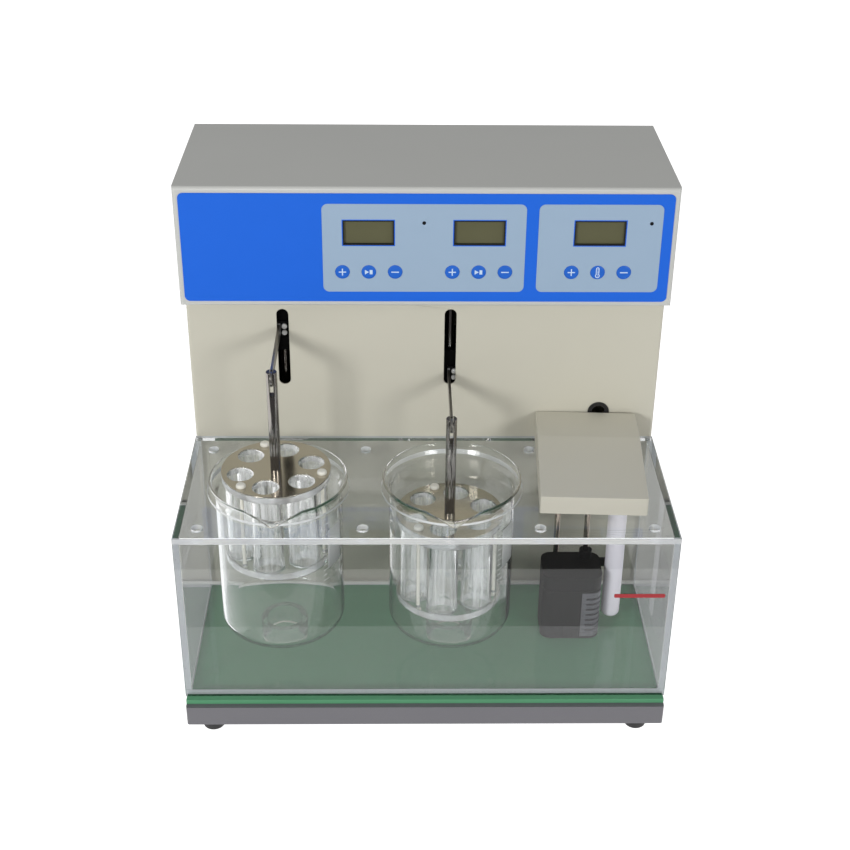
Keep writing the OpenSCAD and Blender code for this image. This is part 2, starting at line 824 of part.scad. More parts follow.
// flat gearbox with a boss for the output shaft, and the motor can behind it
module gearmotors() color([0.66, 0.67, 0.70]) for (x = [left_slot_x, right_slot_x]) {
    y0 = frame_y + frame_t;
    difference() {
        union() {
            translate([x, 0, crank_z]) upright(y0 + bond, gearbox_d)
                rounded_rect(gearbox_s, gearbox_s, 6);
            y_cyl(x, y0 - gear_boss_len, crank_z, gear_boss_d, gear_boss_len + 1);
            y_cyl(x, y0 + gearbox_d, crank_z, motor_d, motor_len);
            y_cyl(x, y0 + gearbox_d + motor_len - 1, crank_z, motor_end_d, 4);
        }
        y_cyl(x, y0 - 10, crank_z, shaft_d + 2 * fit, shaft_in + 12);
    }
}

// crank disc on its shaft. The crank pin stops short of the yoke: the pivot that is open
module crank(x, lift) color(polished) {
    a = asin((lift - crank_r) / crank_r);
    translate([x, 0, crank_z]) {
        y_cyl(0, crank_y, 0, 2 * crank_disc_r, crank_t);
        y_cyl(0, crank_y + crank_t - eps, 0, shaft_d,
              frame_y - crank_y - crank_t + frame_t + shaft_in);
        rotate([0, -a, 0])
            y_cyl(crank_r, crank_y - crank_pin_len, 0, crank_pin_d, crank_pin_len + eps);
    }
}

// bearing block on the guide rods, with the slotted yoke plate behind it
module carriage(x, hang_x, lift) color([0.72, 0.72, 0.74]) {
    z = blade_low_z + lift;
    yoke_w = 2 * (crank_r + crank_pin_d / 2 + yoke_end);
    difference() {
        union() {
            span([x - block_w / 2, block_y, z - block_h / 2],
                 [x + block_w / 2, block_y + block_d, z + block_h / 2]);
            span([x, block_y + 2, z - wing_t], [x + side_guide_off + wing_out,
                 block_y + block_d - 2, z + wing_t]);
            span([x - block_w / 2, block_y + block_d - 1, z + yoke_rise - yoke_h / 2 + 2],
                 [x + block_w / 2, yoke_y + eps, z + block_h / 2]);
            translate([x, 0, z + yoke_rise]) upright(yoke_y, yoke_t)
                rounded_rect(yoke_w, yoke_h, 4);
        }
        for (o = [0, side_guide_off]) translate([x + o, guide_y, z - block_h])
            cylinder(d = guide_d + 2 * fit, h = 2 * block_h);
        translate([x, 0, z + yoke_rise]) upright(yoke_y - 1, yoke_t + 2)
            rounded_rect(2 * crank_r + crank_pin_d + 2 * yoke_play, crank_pin_d + 2 * yoke_play,
                         crank_pin_d / 2 + yoke_play - eps);
        for (s = [-1, 1])
            y_cyl(hang_x + arm_screw_off, block_y - 1, z + s * arm_screw_gap / 2,
                  arm_screw_hole, arm_screw_end + 2 * bond - block_y + 1);
    }
}

// flat blade out through the slot, with a folded foot and a notched hook at its tip
module lift_arm(hang_x, lift) {
    z = blade_low_z + lift;
    pin_z = z + rod_over - pin_drop;
    color(polished) difference() {
        union() {
            span([hang_x - blade_t / 2, bath_yc, z - blade_h / 2],
                 [hang_x + blade_t / 2, arm_foot_y + blade_t, z + blade_h / 2]);
            translate([hang_x - blade_t / 2, bath_yc, z - 1.5]) rotate([90, 0, 90])
                linear_extrude(blade_t) translate([-1, 0]) circle(r = hook_r);
            span([hang_x - blade_t / 2, arm_foot_y, z - arm_foot_h / 2],
                 [hang_x + arm_foot_w, arm_foot_y + blade_t, z + arm_foot_h / 2]);
        }
        for (s = [-1, 1])
            y_cyl(hang_x + arm_screw_off, arm_foot_y - 1, z + s * arm_screw_gap / 2,
                  arm_screw_hole, blade_t + 2);
        translate([hang_x - blade_t, bath_yc, pin_z]) rotate([90, 0, 90])
            linear_extrude(2 * blade_t) {
                circle(d = pin_d + 2 * fit);
                translate([-pin_d / 2 - fit, 0]) square([pin_d + 2 * fit, blade_h]);
            }
    }
    color(white) for (s = [-1, 1]) {
        y_cyl(hang_x + arm_screw_off, arm_foot_y - bond - arm_screw_head,
              z + s * arm_screw_gap / 2, arm_screw_d, arm_screw_head);
        y_cyl(hang_x + arm_screw_off, arm_screw_y, z + s * arm_screw_gap / 2,
              arm_screw_hole - 2 * fit, arm_screw_len);
    }
}

// ---------- baskets ----------

module hanger(x, lift) {
    top = blade_low_z + lift + rod_over;
    base = top - rod_len;
    translate([x, bath_yc, 0]) {
        color(polished) difference() {
            union() {
                translate([0, 0, base]) rotate_extrude() polygon(concat(
                    [[0, 0], [rod_d / 2, 0]], arc(rod_d / 2 - 1, rod_len - 1, 1, 0, 90, 4),
                    [[0, rod_len]]));
                translate([0, 0, base - plate_t - disc_t - spigot_nut_h - 1])
                    cylinder(d = spigot_d, h = plate_t + disc_t + spigot_nut_h + 2);
                translate([0, 0, base - plate_t - disc_t - bond - spigot_nut_h])
                    cylinder(d = spigot_nut_d, h = spigot_nut_h, $fn = 6);
            }
            span([-fork_slot_w / 2, -rod_d, top - fork_slot_depth],
                 [fork_slot_w / 2, rod_d, top + 1]);
            translate([-rod_d, 0, top - pin_drop]) rotate([0, 90, 0])
                cylinder(d = pin_d + 2 * fit, h = 2 * rod_d);
        }
        color(white) translate([-rod_d / 2 + 0.3, 0, top - pin_drop]) rotate([0, 90, 0])
            cylinder(d = pin_d, h = rod_d - 0.6);
    }
}

module at_tubes() {
    for (i = [0:tube_count - 1]) rotate(basket_turn + i * 360 / tube_count)
        translate([tube_circle_r, 0]) children();
}

module at_bolts() {
    for (i = [0:2]) rotate(bolt_turn + i * 120) translate([bolt_circle_r, 0]) children();
}

// the basket's own frame: x, y on the rod's axis, z at the top of the steel plate
module in_basket(x, lift) {
    translate([x, bath_yc, blade_low_z + lift + rod_over - rod_len]) children();
}

module top_plate(x, lift) color(polished) in_basket(x, lift)
    translate([0, 0, -plate_t]) linear_extrude(plate_t) difference() {
        circle(d = basket_d);
        at_tubes() circle(d = plate_hole_d);
        at_bolts() circle(d = bolt_d + 2 * fit);
        circle(d = spigot_d + 2 * fit);
    }

module disc_outline(centre_hole) difference() {
    circle(d = basket_d);
    at_tubes() circle(d = tube_od + 2 * disc_hole_fit);
    at_bolts() circle(d = bolt_d + 2 * fit);
    if (centre_hole) circle(d = spigot_d + 2 * fit);
}

tube_top = -plate_t - bond;
tube_low = tube_top - tube_len;

module discs(x, lift) color(clear) in_basket(x, lift) {
    translate([0, 0, tube_top - disc_t + bond]) linear_extrude(disc_t) disc_outline(true);
    translate([0, 0, tube_low - bond + seat / 2]) linear_extrude(disc_t) disc_outline(false);
}

module tubes(x, lift) color(clear) in_basket(x, lift) at_tubes()
    translate([0, 0, tube_low]) difference() {
        cylinder(d = tube_od, h = tube_len);
        translate([0, 0, -1]) cylinder(d = tube_id, h = tube_len + 2);
    }

// woven wire screen under the tubes, in a thin rim
module screen(x, lift) color(polished) in_basket(x, lift)
    translate([0, 0, tube_low - bond - screen_t]) linear_extrude(screen_t) {
        difference() {
            circle(d = basket_d - 1);
            at_tubes() circle(d = tube_id);
            at_bolts() circle(d = bolt_d + 2 * fit);
        }
        intersection() {
            at_tubes() circle(d = tube_id + 1);
            union() {
                n = floor(basket_d / 2 / screen_pitch);
                for (i = [-n:n]) {
                    translate([i * screen_pitch, 0]) square([wire_w, basket_d], center = true);
                    translate([0, i * screen_pitch]) square([basket_d, wire_w], center = true);
                }
            }
        }
    }

module tie_bolts(x, lift) color(white) in_basket(x, lift) at_bolts() {
    translate([0, 0, -basket_h + 0.2]) cylinder(d = bolt_d, h = basket_h + 1);
    rotate_extrude() polygon(concat(
        [[0, 0], [bolt_cap_d / 2, 0]],
        arc(bolt_cap_d / 2 - bolt_cap_r, bolt_cap_h - bolt_cap_r, bolt_cap_r, 0, 90, 5),
        [[0, bolt_cap_h]]));
    translate([0, 0, tube_low - bond - screen_t - bolt_nut_h - bond])
        cylinder(d = bolt_nut_d, h = bolt_nut_h, $fn = 6);
}

// ---------- bath ----------

module water_tank() color(clear) {
    half = body_w / 2;
    span([-half, bath_y0, bath_z], [half, bath_y1, floor_z - bond]);
    for (y = [bath_y0, bath_y1 - bath_wall])
        span([-half, y, floor_z], [half, y + bath_wall, bath_top]);
    for (x = [-half, half - bath_wall])
        span([x, bath_y0 + bath_wall + bond, floor_z],
             [x + bath_wall, bath_y1 - bath_wall - bond, bath_top]);
}

module level_mark() color([0.76, 0.24, 0.24])
    translate([body_w / 2 - mark_in - mark_len / 2, 0, lid_top - mark_drop])
        upright(bath_y0 - mark_t, mark_t) rounded_rect(mark_len, mark_h, mark_h / 3);

module tank_lid() color(clear) translate([0, 0, bath_top]) linear_extrude(lid_t) difference() {
    translate([0, bath_yc]) square([body_w, bath_d], center = true);
    for (x = [left_beaker_x, right_beaker_x])
        translate([x, bath_yc]) circle(r = rim_r + lid_clear);
    for (x = lid_hole_x, y = lid_hole_y) translate([x, bath_y0 + y]) circle(d = lid_hole_d);
    translate([heater_x, heater_tube_y + plug_back]) square([cutout_w, cutout_d], center = true);
}

module beaker_rings() color(clear) for (x = [left_beaker_x, right_beaker_x])
    translate([x, bath_yc, floor_z + bond / 2]) difference() {
        cylinder(d = ring_od, h = ring_h);
        translate([0, 0, -1]) cylinder(d = ring_od - 2 * ring_wall, h = ring_h + 2);
    }

// wall of the beaker at radius r: straight side, round bottom corner, flared rim
function beaker_side(r, corner, z0, top) = concat(
    [[0, z0]],
    arc(r - corner, z0 + corner, corner, -90, 0, 8),
    [for (i = [0:6]) let (t = i / 6)
        [r + rim_flare * (1 - cos(90 * t)), top - rim_h * (1 - t)]],
    [[0, top]]);

// plan of the pouring lip: a V that starts at the rim and ends in a round tip of radius r
module spout_outline(r) {
    tip_y = -rim_r - spout_reach + spout_r;
    side_x = (rim_r - spout_r) * sin(spout_half);
    side_y = -(rim_r - spout_r) * cos(spout_half);
    a = atan2(side_x, side_y - tip_y);
    polygon(concat(
        [[-side_x - r * cos(a), spout_y], [-side_x - r * cos(a), side_y - r * sin(a)]],
        arc(0, tip_y, r, 180 + a, 360 - a, 8),
        [[side_x + r * cos(a), side_y - r * sin(a)], [side_x + r * cos(a), spout_y]]));
}

module beaker(x) color(clear) translate([x, bath_yc, beaker_z]) difference() {
    lip_z = beaker_h - rim_rise + spout_gap;
    lip_y = -rim_r - spout_reach - 1;
    union() {
        rotate_extrude($fn = 96) polygon(beaker_side(beaker_d / 2, beaker_corner_r, 0, beaker_h));
        difference() {
            translate([0, 0, lip_z]) linear_extrude(beaker_h - lip_z) spout_outline(spout_r);
            translate([-rim_r, 0, beaker_h]) rotate([90, 0, 90]) linear_extrude(2 * rim_r)
                polygon([[-rim_r + 4, 1], [lip_y, -spout_dip], [lip_y, 1]]);
        }
    }
    rotate_extrude($fn = 96) polygon(beaker_side(beaker_d / 2 - glass_t, beaker_corner_r - glass_t,
                                                 glass_t, beaker_h + 1));
    translate([0, 0, lip_z + spout_wall]) linear_extrude(beaker_h)
        spout_outline(spout_r - spout_wall);
}

// ---------- heater unit ----------

module in_cover() {
    translate([heater_x, cover_yc, lid_top]) rotate(cover_turn) children();
}

// white plate on the lid with a plug that drops into the cut-out
module heater_plate() color(white) difference() {
    union() {
        in_cover() translate([0, 0, bond]) linear_extrude(plate_flange)
            rounded_rect(cover_w - 5, cover_d - 8, 3);
        translate([heater_x, heater_tube_y + plug_back, lid_top - plug_h]) rotate(cover_turn)
            linear_extrude(plug_h + 1) rounded_rect(plug_w, plug_d, 3);
    }
    translate([heater_tube_x, heater_tube_y, 0]) cylinder(d = heater_d + 2 * fit, h = lid_top + 20);
    for (p = [[probe_x, probe_y], [pump_rod_x, pump_rod_y]])
        translate([p[0], p[1], 0]) cylinder(d = probe_d + 2 * fit, h = lid_top + 20);
}

// folded sheet cover: front lip, sloping top, flat rear part, open below
module heater_cover() color([0.80, 0.79, 0.74]) in_cover() {
    t = cover_sheet_t;
    fy = -cover_d / 2;
    by = cover_d / 2;
    difference() {
        translate([-cover_w / 2, 0, 0]) rotate([90, 0, 90]) linear_extrude(cover_w)
            polygon([[fy, bond], [fy, cover_front_h], [by - cover_flat, cover_back_h],
                     [by, cover_back_h], [by, bond]]);
        translate([-cover_w / 2 + t, 0, 0]) rotate([90, 0, 90]) linear_extrude(cover_w - 2 * t)
            polygon([[fy + t, -1], [fy + t, cover_front_h - t],
                     [by - cover_flat, cover_back_h - t], [by - t, cover_back_h - t],
                     [by - t, -1]]);
        translate([cable_x - heater_x - 12, by - 5, -1]) cube([notch_w, 10, notch_h]);
    }
}

module heater_tube() color(white) {
    top = lid_top + plate_flange + 6;
    len = heater_drop + top - lid_top;
    translate([heater_tube_x, heater_tube_y, top - len]) rotate_extrude() polygon(concat(
        [[0, 0]], arc(heater_d / 2 - 4, 4, 4, -90, 0, 5), [[heater_d / 2, len], [0, len]]));
}

// temperature probe at the back and the rod that carries the pump
module hanging_rods() color(polished) {
    translate([probe_x, probe_y, lid_top - probe_drop])
        rotate_extrude() polygon(concat([[0, 0]],
            arc(probe_d / 2 - 1.5, 1.5, 1.5, -90, 0, 4),
            [[probe_d / 2, probe_drop + rod_up], [0, probe_drop + rod_up]]));
    rod_low = pump_z + pump_h + 1;
    translate([pump_rod_x, pump_rod_y, rod_low])
        cylinder(d = probe_d, h = lid_top + rod_up - rod_low);
}

// submersible pump: rounded body, lid seam, rod collar on top, nozzle to the right
module circulation_pump() color(black) {
    difference() {
        union() {
            translate([pump_x, pump_y, pump_z]) {
                linear_extrude(pump_h - pump_cap_h - seam)
                    rounded_rect(pump_w, pump_d, pump_corner_r);
                linear_extrude(pump_h - pump_cap_h + eps)
                    rounded_rect(pump_w - 2 * seam, pump_d - 2 * seam, pump_corner_r - seam);
                translate([0, 0, pump_h - pump_cap_h]) linear_extrude(pump_cap_h)
                    rounded_rect(pump_w, pump_d, pump_corner_r);
            }
            translate([pump_rod_x, pump_rod_y, pump_z + pump_h - 1])
                cylinder(d = collar_d, h = collar_h + 1);
            translate([pump_x + pump_w / 2 - 6, nozzle_y, lid_top - nozzle_drop])
                rotate([0, 90, 0]) cylinder(d = nozzle_d, h = nozzle_len + 6);
        }
        translate([pump_rod_x, pump_rod_y, pump_z + pump_h])
            cylinder(d = probe_d + 2 * fit, h = 2 * collar_h);
        translate([pump_x + pump_w / 2 - 6, nozzle_y, lid_top - nozzle_drop])
            rotate([0, 90, 0]) cylinder(d = nozzle_bore, h = nozzle_len + 10);
        span([pump_x + pump_w / 2 - strainer_w - fit, pump_y - pump_d, pump_z + strainer_up],
             [pump_x + pump_w, pump_y - pump_d / 2 + strainer_w,
              pump_z + strainer_up + strainer_h + fit]);
    }
}

// slotted intake shell that closes the pump's lower front corner
module pump_strainer() color([0.45, 0.45, 0.48]) difference() {
    z0 = pump_z + strainer_up + fit;
    x0 = pump_x + pump_w / 2 - strainer_w;
    y1 = pump_y - pump_d / 2 + strainer_w;
    intersection() {
        translate([pump_x, pump_y, z0]) linear_extrude(strainer_h - fit) difference() {
            rounded_rect(pump_w, pump_d, pump_corner_r);
            rounded_rect(pump_w - 2 * strainer_t, pump_d - 2 * strainer_t,
                         pump_corner_r - strainer_t);
        }
        span([x0, pump_y - pump_d, 0], [pump_x + pump_w, y1 - fit, lid_top]);
    }
    for (i = [1:strainer_slots])
        span([x0 + 4, pump_y - pump_d, z0 + i * strainer_pitch],
             [pump_x + pump_w, y1 - 5, z0 + i * strainer_pitch + 2]);
}

base_tray();
bottom_cover();
rubber_feet();
case_screws();
tank_pad();
column_shell();
cable_grommet();
rear_panel();
head_shell();
front_overlay();
control_fields();
lcd_displays();
indicator_lamps();
control_boards();
transformer();
motor_frame();
guide_rods();
gearmotors();
power_fittings();
switch_rocker();
water_tank();
level_mark();
beaker_rings();
tank_lid();
key(0, -1);  // key_left_plus
key(0, 0);  // key_left_start
key(0, 1);  // key_left_minus
key(1, -1);  // key_right_plus
key(1, 0);  // key_right_start
key(1, 1);  // key_right_minus
key(2, -1);  // key_heater_plus
key(2, 0);  // key_heater_mode
key(2, 1);  // key_heater_minus
crank(left_slot_x, left_lift);  // left_crank
crank(right_slot_x, right_lift);  // right_crank
carriage(left_slot_x, left_hang_x, left_lift);  // left_carriage
carriage(right_slot_x, right_hang_x, right_lift);  // right_carriage
lift_arm(left_hang_x, left_lift);  // left_lift_arm
lift_arm(right_hang_x, right_lift);  // right_lift_arm
hanger(left_hang_x, left_lift);  // left_hanger
hanger(right_hang_x, right_lift);  // right_hanger
top_plate(left_hang_x, left_lift);  // left_top_plate
top_plate(right_hang_x, right_lift);  // right_top_plate
discs(left_hang_x, left_lift);  // left_discs
discs(right_hang_x, right_lift);  // right_discs
tubes(left_hang_x, left_lift);  // left_tubes
tubes(right_hang_x, right_lift);  // right_tubes
screen(left_hang_x, left_lift);  // left_screen
screen(right_hang_x, right_lift);  // right_screen
tie_bolts(left_hang_x, left_lift);  // left_tie_bolts
tie_bolts(right_hang_x, right_lift);  // right_tie_bolts
beaker(left_beaker_x);  // left_beaker
beaker(right_beaker_x);  // right_beaker
heater_plate();
heater_cover();
heater_tube();
hanging_rods();
circulation_pump();
pump_strainer();
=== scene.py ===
import math

import bpy
import numpy as np
from mathutils import Matrix, Vector


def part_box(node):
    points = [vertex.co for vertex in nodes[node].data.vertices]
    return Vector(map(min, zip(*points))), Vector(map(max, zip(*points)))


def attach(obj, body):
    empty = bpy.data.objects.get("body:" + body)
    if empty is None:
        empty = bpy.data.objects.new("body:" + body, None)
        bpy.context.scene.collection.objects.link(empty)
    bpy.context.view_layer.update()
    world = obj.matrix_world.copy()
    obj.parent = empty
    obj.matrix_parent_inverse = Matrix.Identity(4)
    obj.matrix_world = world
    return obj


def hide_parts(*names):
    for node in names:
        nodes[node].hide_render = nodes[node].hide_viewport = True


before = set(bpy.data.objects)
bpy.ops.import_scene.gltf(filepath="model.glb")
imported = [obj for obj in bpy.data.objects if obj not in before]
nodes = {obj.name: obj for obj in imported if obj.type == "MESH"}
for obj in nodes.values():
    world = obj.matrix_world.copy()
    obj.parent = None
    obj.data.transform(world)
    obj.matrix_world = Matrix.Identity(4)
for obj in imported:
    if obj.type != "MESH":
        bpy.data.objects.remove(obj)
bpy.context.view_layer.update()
MM = 0.001

# ---------- base tray and bottom cover
# A shallow tray of folded 2 mm steel with a screwed bottom cover. It is sprayed with a dark
# grey hammer enamel, which gives a satin surface with a fine mottled relief.

HUNDREDTH = 0.01 * MM


def linear(hex_code):
    """sRGB hex string to a linear RGBA colour."""
    channels = np.array([int(hex_code[i:i + 2], 16) / 255 for i in (0, 2, 4)])
    low = channels <= 0.04045
    out = np.where(low, channels / 12.92, ((channels + 0.055) / 1.055) ** 2.4)
    return (*out.tolist(), 1.0)


def add(tree, kind, inputs=(), **settings):
    """Adds a shader node; inputs maps a socket to a value or to an output socket."""
    node = tree.nodes.new(kind)
    for key, value in settings.items():
        setattr(node, key, value)
    for key, value in dict(inputs).items():
        if isinstance(value, bpy.types.NodeSocket):
            tree.links.new(value, node.inputs[key])
        else:
            node.inputs[key].default_value = value
    return node


def finish(name, colours, rough, cloud, grain, relief, stretch=(1, 1, 1), **sockets):
    """Principled finish. The colour drifts between two hex values over cloud millimetres, and
    the roughness between two values over grain millimetres, with a relief of relief
    hundredths of a millimetre; stretch draws both patterns out along an axis."""
    mat = bpy.data.materials.new(name)
    mat.use_nodes = True
    tree = mat.node_tree
    shader = tree.nodes["Principled BSDF"]
    for key, value in sockets.items():
        shader.inputs[key.replace("_", " ")].default_value = value
    place = add(tree, "ShaderNodeMapping", {
        "Vector": add(tree, "ShaderNodeTexCoord").outputs["Object"], "Scale": stretch})
    drift, fine = (add(tree, "ShaderNodeTexNoise", {
        "Vector": place.outputs["Vector"], "Scale": 1 / (size * MM), "Detail": 3.0}).outputs["Fac"]
        for size in (cloud, grain))
    colour = add(tree, "ShaderNodeMix", {"Factor": drift, 6: linear(colours[0]),
                                         7: linear(colours[1])}, data_type="RGBA")
    gloss = add(tree, "ShaderNodeMapRange", {"Value": fine, "To Min": rough[0], "To Max": rough[1]})
    dents = add(tree, "ShaderNodeBump", {"Height": fine, "Distance": relief * HUNDREDTH})
    tree.links.new(colour.outputs[2], shader.inputs["Base Color"])
    tree.links.new(gloss.outputs["Result"], shader.inputs["Roughness"])
    tree.links.new(dents.outputs["Normal"], shader.inputs["Normal"])
    return mat


def enamel(name, colours, roughness, peel):
    """Stove enamel: barely cloudy, with a thin clear skin on top that gives a soft second
    highlight. Its orange peel is 1.1 mm wide, as the real one is."""
    return finish(name, colours, rough=(roughness - 0.04, roughness + 0.05), cloud=110, grain=1.1,
                  relief=peel, IOR=1.5, Coat_Weight=0.15, Coat_Roughness=0.25)


def dress(names, mat, width=0.0, angle=35):
    """Gives CAD nodes a material, and edges rounded by width where they turn past angle."""
    for name in names.split():
        obj = nodes[name]
        for slot in obj.material_slots:
            slot.material = mat
        if width:
            weld = obj.modifiers.new("weld", "WELD")
            weld.merge_threshold = HUNDREDTH
            edge = obj.modifiers.new("edge", "BEVEL")
            edge.width = width
            edge.segments = 3
            edge.limit_method = "ANGLE"
            edge.angle_limit = math.radians(angle)
            edge.harden_normals = True


hammer_grey = enamel("dark grey hammer enamel", ("6C6B70", "67666B"), roughness=0.40, peel=6)
dress("base_tray bottom_cover", hammer_grey, 0.6 * MM)

# ---------- feet and cable grommet
# Moulded black rubber, matt, so that it barely mirrors anything. The feet are screwed up
# into the tray, and the grommet lines the hole that the heater's cables would use.

# the mould's grain is near 0.1 mm, and is drawn 0.4 mm wide to show at all
rubber = finish("black moulded rubber", ("141414", "1D1D1D"), rough=(0.55, 0.65), cloud=2.5,
                grain=0.4, relief=2, IOR=1.5)
dress("rubber_feet cable_grommet", rubber, 0.3 * MM)

# ---------- case screws
# Zinc-plated pan-head screws, four up through the feet and the rest in the rear panel. The
# plating is a dull silver, slightly uneven from its bath.

zinc = finish("zinc plated steel", ("B4B6B8", "C9CACB"), rough=(0.22, 0.38), cloud=3, grain=2,
              relief=0.2, Metallic=1.0)
dress("case_screws", zinc, 0.4 * MM)

# ---------- green pad
# A 4 mm sheet of calendered green rubber, laid loose on the base under the whole bath. It
# is smooth, with the faint lengthwise lines of the rollers.

pad_green = finish("green rubber sheet", ("54956B", "63A57D"), rough=(0.45, 0.55), cloud=3,
                   grain=0.55, relief=4, stretch=(0.04, 1, 1), IOR=1.5)
dress("tank_pad", pad_green, 0.2 * MM)

# ---------- column, rear panel and head
# Folded 1.5 mm steel in stove enamel. The column and the rear panel are cream, the head a
# cooler pale grey; both have a soft satin gloss.

cream = enamel("cream stove enamel", ("CFCCBD", "CBC8B9"), roughness=0.42, peel=2.4)
pale_grey = enamel("pale grey stove enamel", ("CCCDC9", "C8C9C5"), roughness=0.42, peel=2.4)
dress("column_shell", cream, 0.3 * MM)
dress("rear_panel", cream)
dress("head_shell", pale_grey, 0.3 * MM)

# ---------- overlay and control fields
# Reverse-printed polyester films, glued on: a clear smooth face with a very fine texture
# over flat printed colour, which looks even and slightly matt.


def film(name, colours, roughness):
    """Printed polyester: flat even colour under a fine matt texture. The real texture is
    near 0.05 mm, and is drawn 0.4 mm wide to show at all."""
    return finish(name, colours, rough=(roughness, roughness + 0.08), cloud=25, grain=0.4,
                  relief=1, IOR=1.5, Specular_IOR_Level=0.3)


blue_film = film("blue printed polyester film", ("1A69E2", "1867DE"), roughness=0.36)
pale_film = film("pale blue printed polyester film", ("9FB5CC", "9CB3CA"), roughness=0.38)
dress("front_overlay", blue_film, 0.2 * MM)
dress("control_fields", pale_film, 0.2 * MM)

# ---------- display windows
# Reflective LCD glass behind a cut-out in each field: olive grey and glossy. The print leaves
# a thin blue outline round the window. A dull black liner round the gap behind it is painted
# shade: it darkens the recess in place of the shadow of its walls.

lcd_glass = finish("reflective LCD glass", ("605F46", "64634B"), rough=(0.13, 0.15), cloud=30,
                   grain=8, relief=0.1, IOR=1.5, Specular_IOR_Level=0.4)
dress("lcd_displays", lcd_glass)
# painted shade: near-black walls round each window's recess, in place of the shadow in it
recess_shade = finish("black liner as painted recess shade", ("0C0D10", "131417"), rough=(0.55, 0.65), cloud=1.7, grain=0.5,
              relief=4, IOR=1.5)


def middle(*names):
    """Middle of the box round some CAD nodes."""
    corners = np.array([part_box(name) for name in names])
    return Vector((corners[:, 0].min(0) + corners[:, 1].max(0)) / 2)


def mesh_piece(name, verts, faces, mat, body, slot, replaced=(), smooth=False):
    """One object of the scene from arrays, on its body, in place of the CAD nodes replaced."""
    me = bpy.data.meshes.new(name)
    me.from_pydata(verts.tolist(), [], [list(map(int, face)) for face in faces])
    me.materials.append(mat)
    me.polygons.foreach_set("use_smooth", [smooth] * len(me.polygons))
    me.update()
    obj = bpy.data.objects.new(name, me)
    bpy.context.scene.collection.objects.link(obj)
    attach(obj, body)
    if replaced:
        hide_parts(*replaced)
    return obj


BOX_FACES = np.array([(0, 1, 3, 2), (4, 6, 7, 5), (0, 4, 5, 1), (2, 3, 7, 6), (0, 2, 6, 4),
                      (1, 5, 7, 3)])


def boxes(pairs):
    """Corners and outward faces of boxes given by their low and high corners: a corner takes
    each coordinate from the low or the high one."""
    pick = np.array([[i >> 2 & 1, i >> 1 & 1, i & 1] for i in range(8)], bool)
    verts = [np.where(pick, np.array(high), np.array(low)) for low, high in pairs]
    faces = [BOX_FACES + 8 * i for i in range(len(pairs))]
    return np.concatenate(verts), np.concatenate(faces)


GROUPS = ("left", "right", "heater")
WINDOW_X = [middle(f"key_{g}_plus", f"key_{g}_minus").x for g in GROUPS]
WINDOW_Z = middle("lcd_displays").z
WINDOW_W, WINDOW_H = 41.5 * MM, 21.5 * MM
FIELD_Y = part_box("control_fields")[0].y


def window_frames(grow, line, front, back):
    """Four bars round each window, grow outside its cut-out, line wide, from a depth front to
    a depth back behind the fields' face."""
    bars = []
    y0, y1 = FIELD_Y + front, FIELD_Y + back
    w, h = WINDOW_W / 2 + grow, WINDOW_H / 2 + grow
    for x in WINDOW_X:
        for side in (-1, 1):
            edge = sorted((side * w, side * (w + line)))
            bars.append(((x + edge[0], y0, WINDOW_Z - h), (x + edge[1], y1, WINDOW_Z + h)))
            edge = sorted((side * h, side * (h + line)))
            bars.append(((x - w - line, y0, WINDOW_Z + edge[0]),
                         (x + w + line, y1, WINDOW_Z + edge[1])))
    return boxes(bars)


outline = window_frames(grow=-0.1 * MM, line=0.7 * MM, front=-0.05 * MM, back=0.02 * MM)
# the painted shade of the recesses, a near-black liner behind the windows
shade_liner = window_frames(grow=-1.2 * MM, line=1.1 * MM, front=0.1 * MM, back=2.1 * MM)
mesh_piece("lcd_outline", *outline, blue_film, "machine", "blue_film")
mesh_piece("lcd_shade_liner", *shade_liner, recess_shade, "machine", "lcd")

# ---------- indicator lamps
# Two small LEDs under moulded smoked lenses, pressed into the head from inside. They are
# unlit, so the lenses look glossy and nearly black.

smoked = finish("smoked lamp lens", ("17181C", "1D1F24"), rough=(0.13, 0.17), cloud=1.7, grain=2,
                relief=0.1, IOR=1.5)
dress("indicator_lamps", smoked)

# ---------- keys
# Embossed domes of the same film, printed blue with pale symbols: plus, start and stop,
# minus, and a thermometer on the heater's middle key. The ink is a little duller.

KEYS = [name for name in nodes if name.startswith("key_")]
key_film = film("blue embossed key film", ("2468D0", "2064CB"), roughness=0.34)
key_ink = film("pale key ink", ("CFE2F6", "C9DDF3"), roughness=0.42)
dress(" ".join(KEYS), key_film, 0.2 * MM)


def arc(cx, cy, r, first, last, steps):
    """Points on a circle from one angle in degrees to another."""
    a = np.radians(np.linspace(first, last, steps + 1))
    return np.stack([cx + r * np.cos(a), cy + r * np.sin(a)], 1)


def raised(outlines, centre, front, depth):
    """Flat outlines in millimetres round centre, each a prism from front back by depth."""
    verts, faces, base = [], [], 0
    for outline in outlines:
        n = len(outline)
        flat = np.zeros((2, n, 3))
        flat[..., 0] = centre[0] + outline[:, 0] * MM
        flat[..., 2] = centre[2] + outline[:, 1] * MM
        flat[:, :, 1] = np.array([[front], [front + depth]])
        verts.append(flat.reshape(-1, 3))
        i = np.arange(n)
        j = (i + 1) % n
        faces += [base + i, base + n + i[::-1]]
        faces += list(base + np.stack([j, i, i + n, j + n], 1))
        base += 2 * n
    return np.concatenate(verts), faces


def bar(x, z, w, h):
    """Rectangle w by h round x, z, anticlockwise."""
    return np.array([(x - w / 2, z - h / 2), (x + w / 2, z - h / 2), (x + w / 2, z + h / 2),
                     (x - w / 2, z + h / 2)])


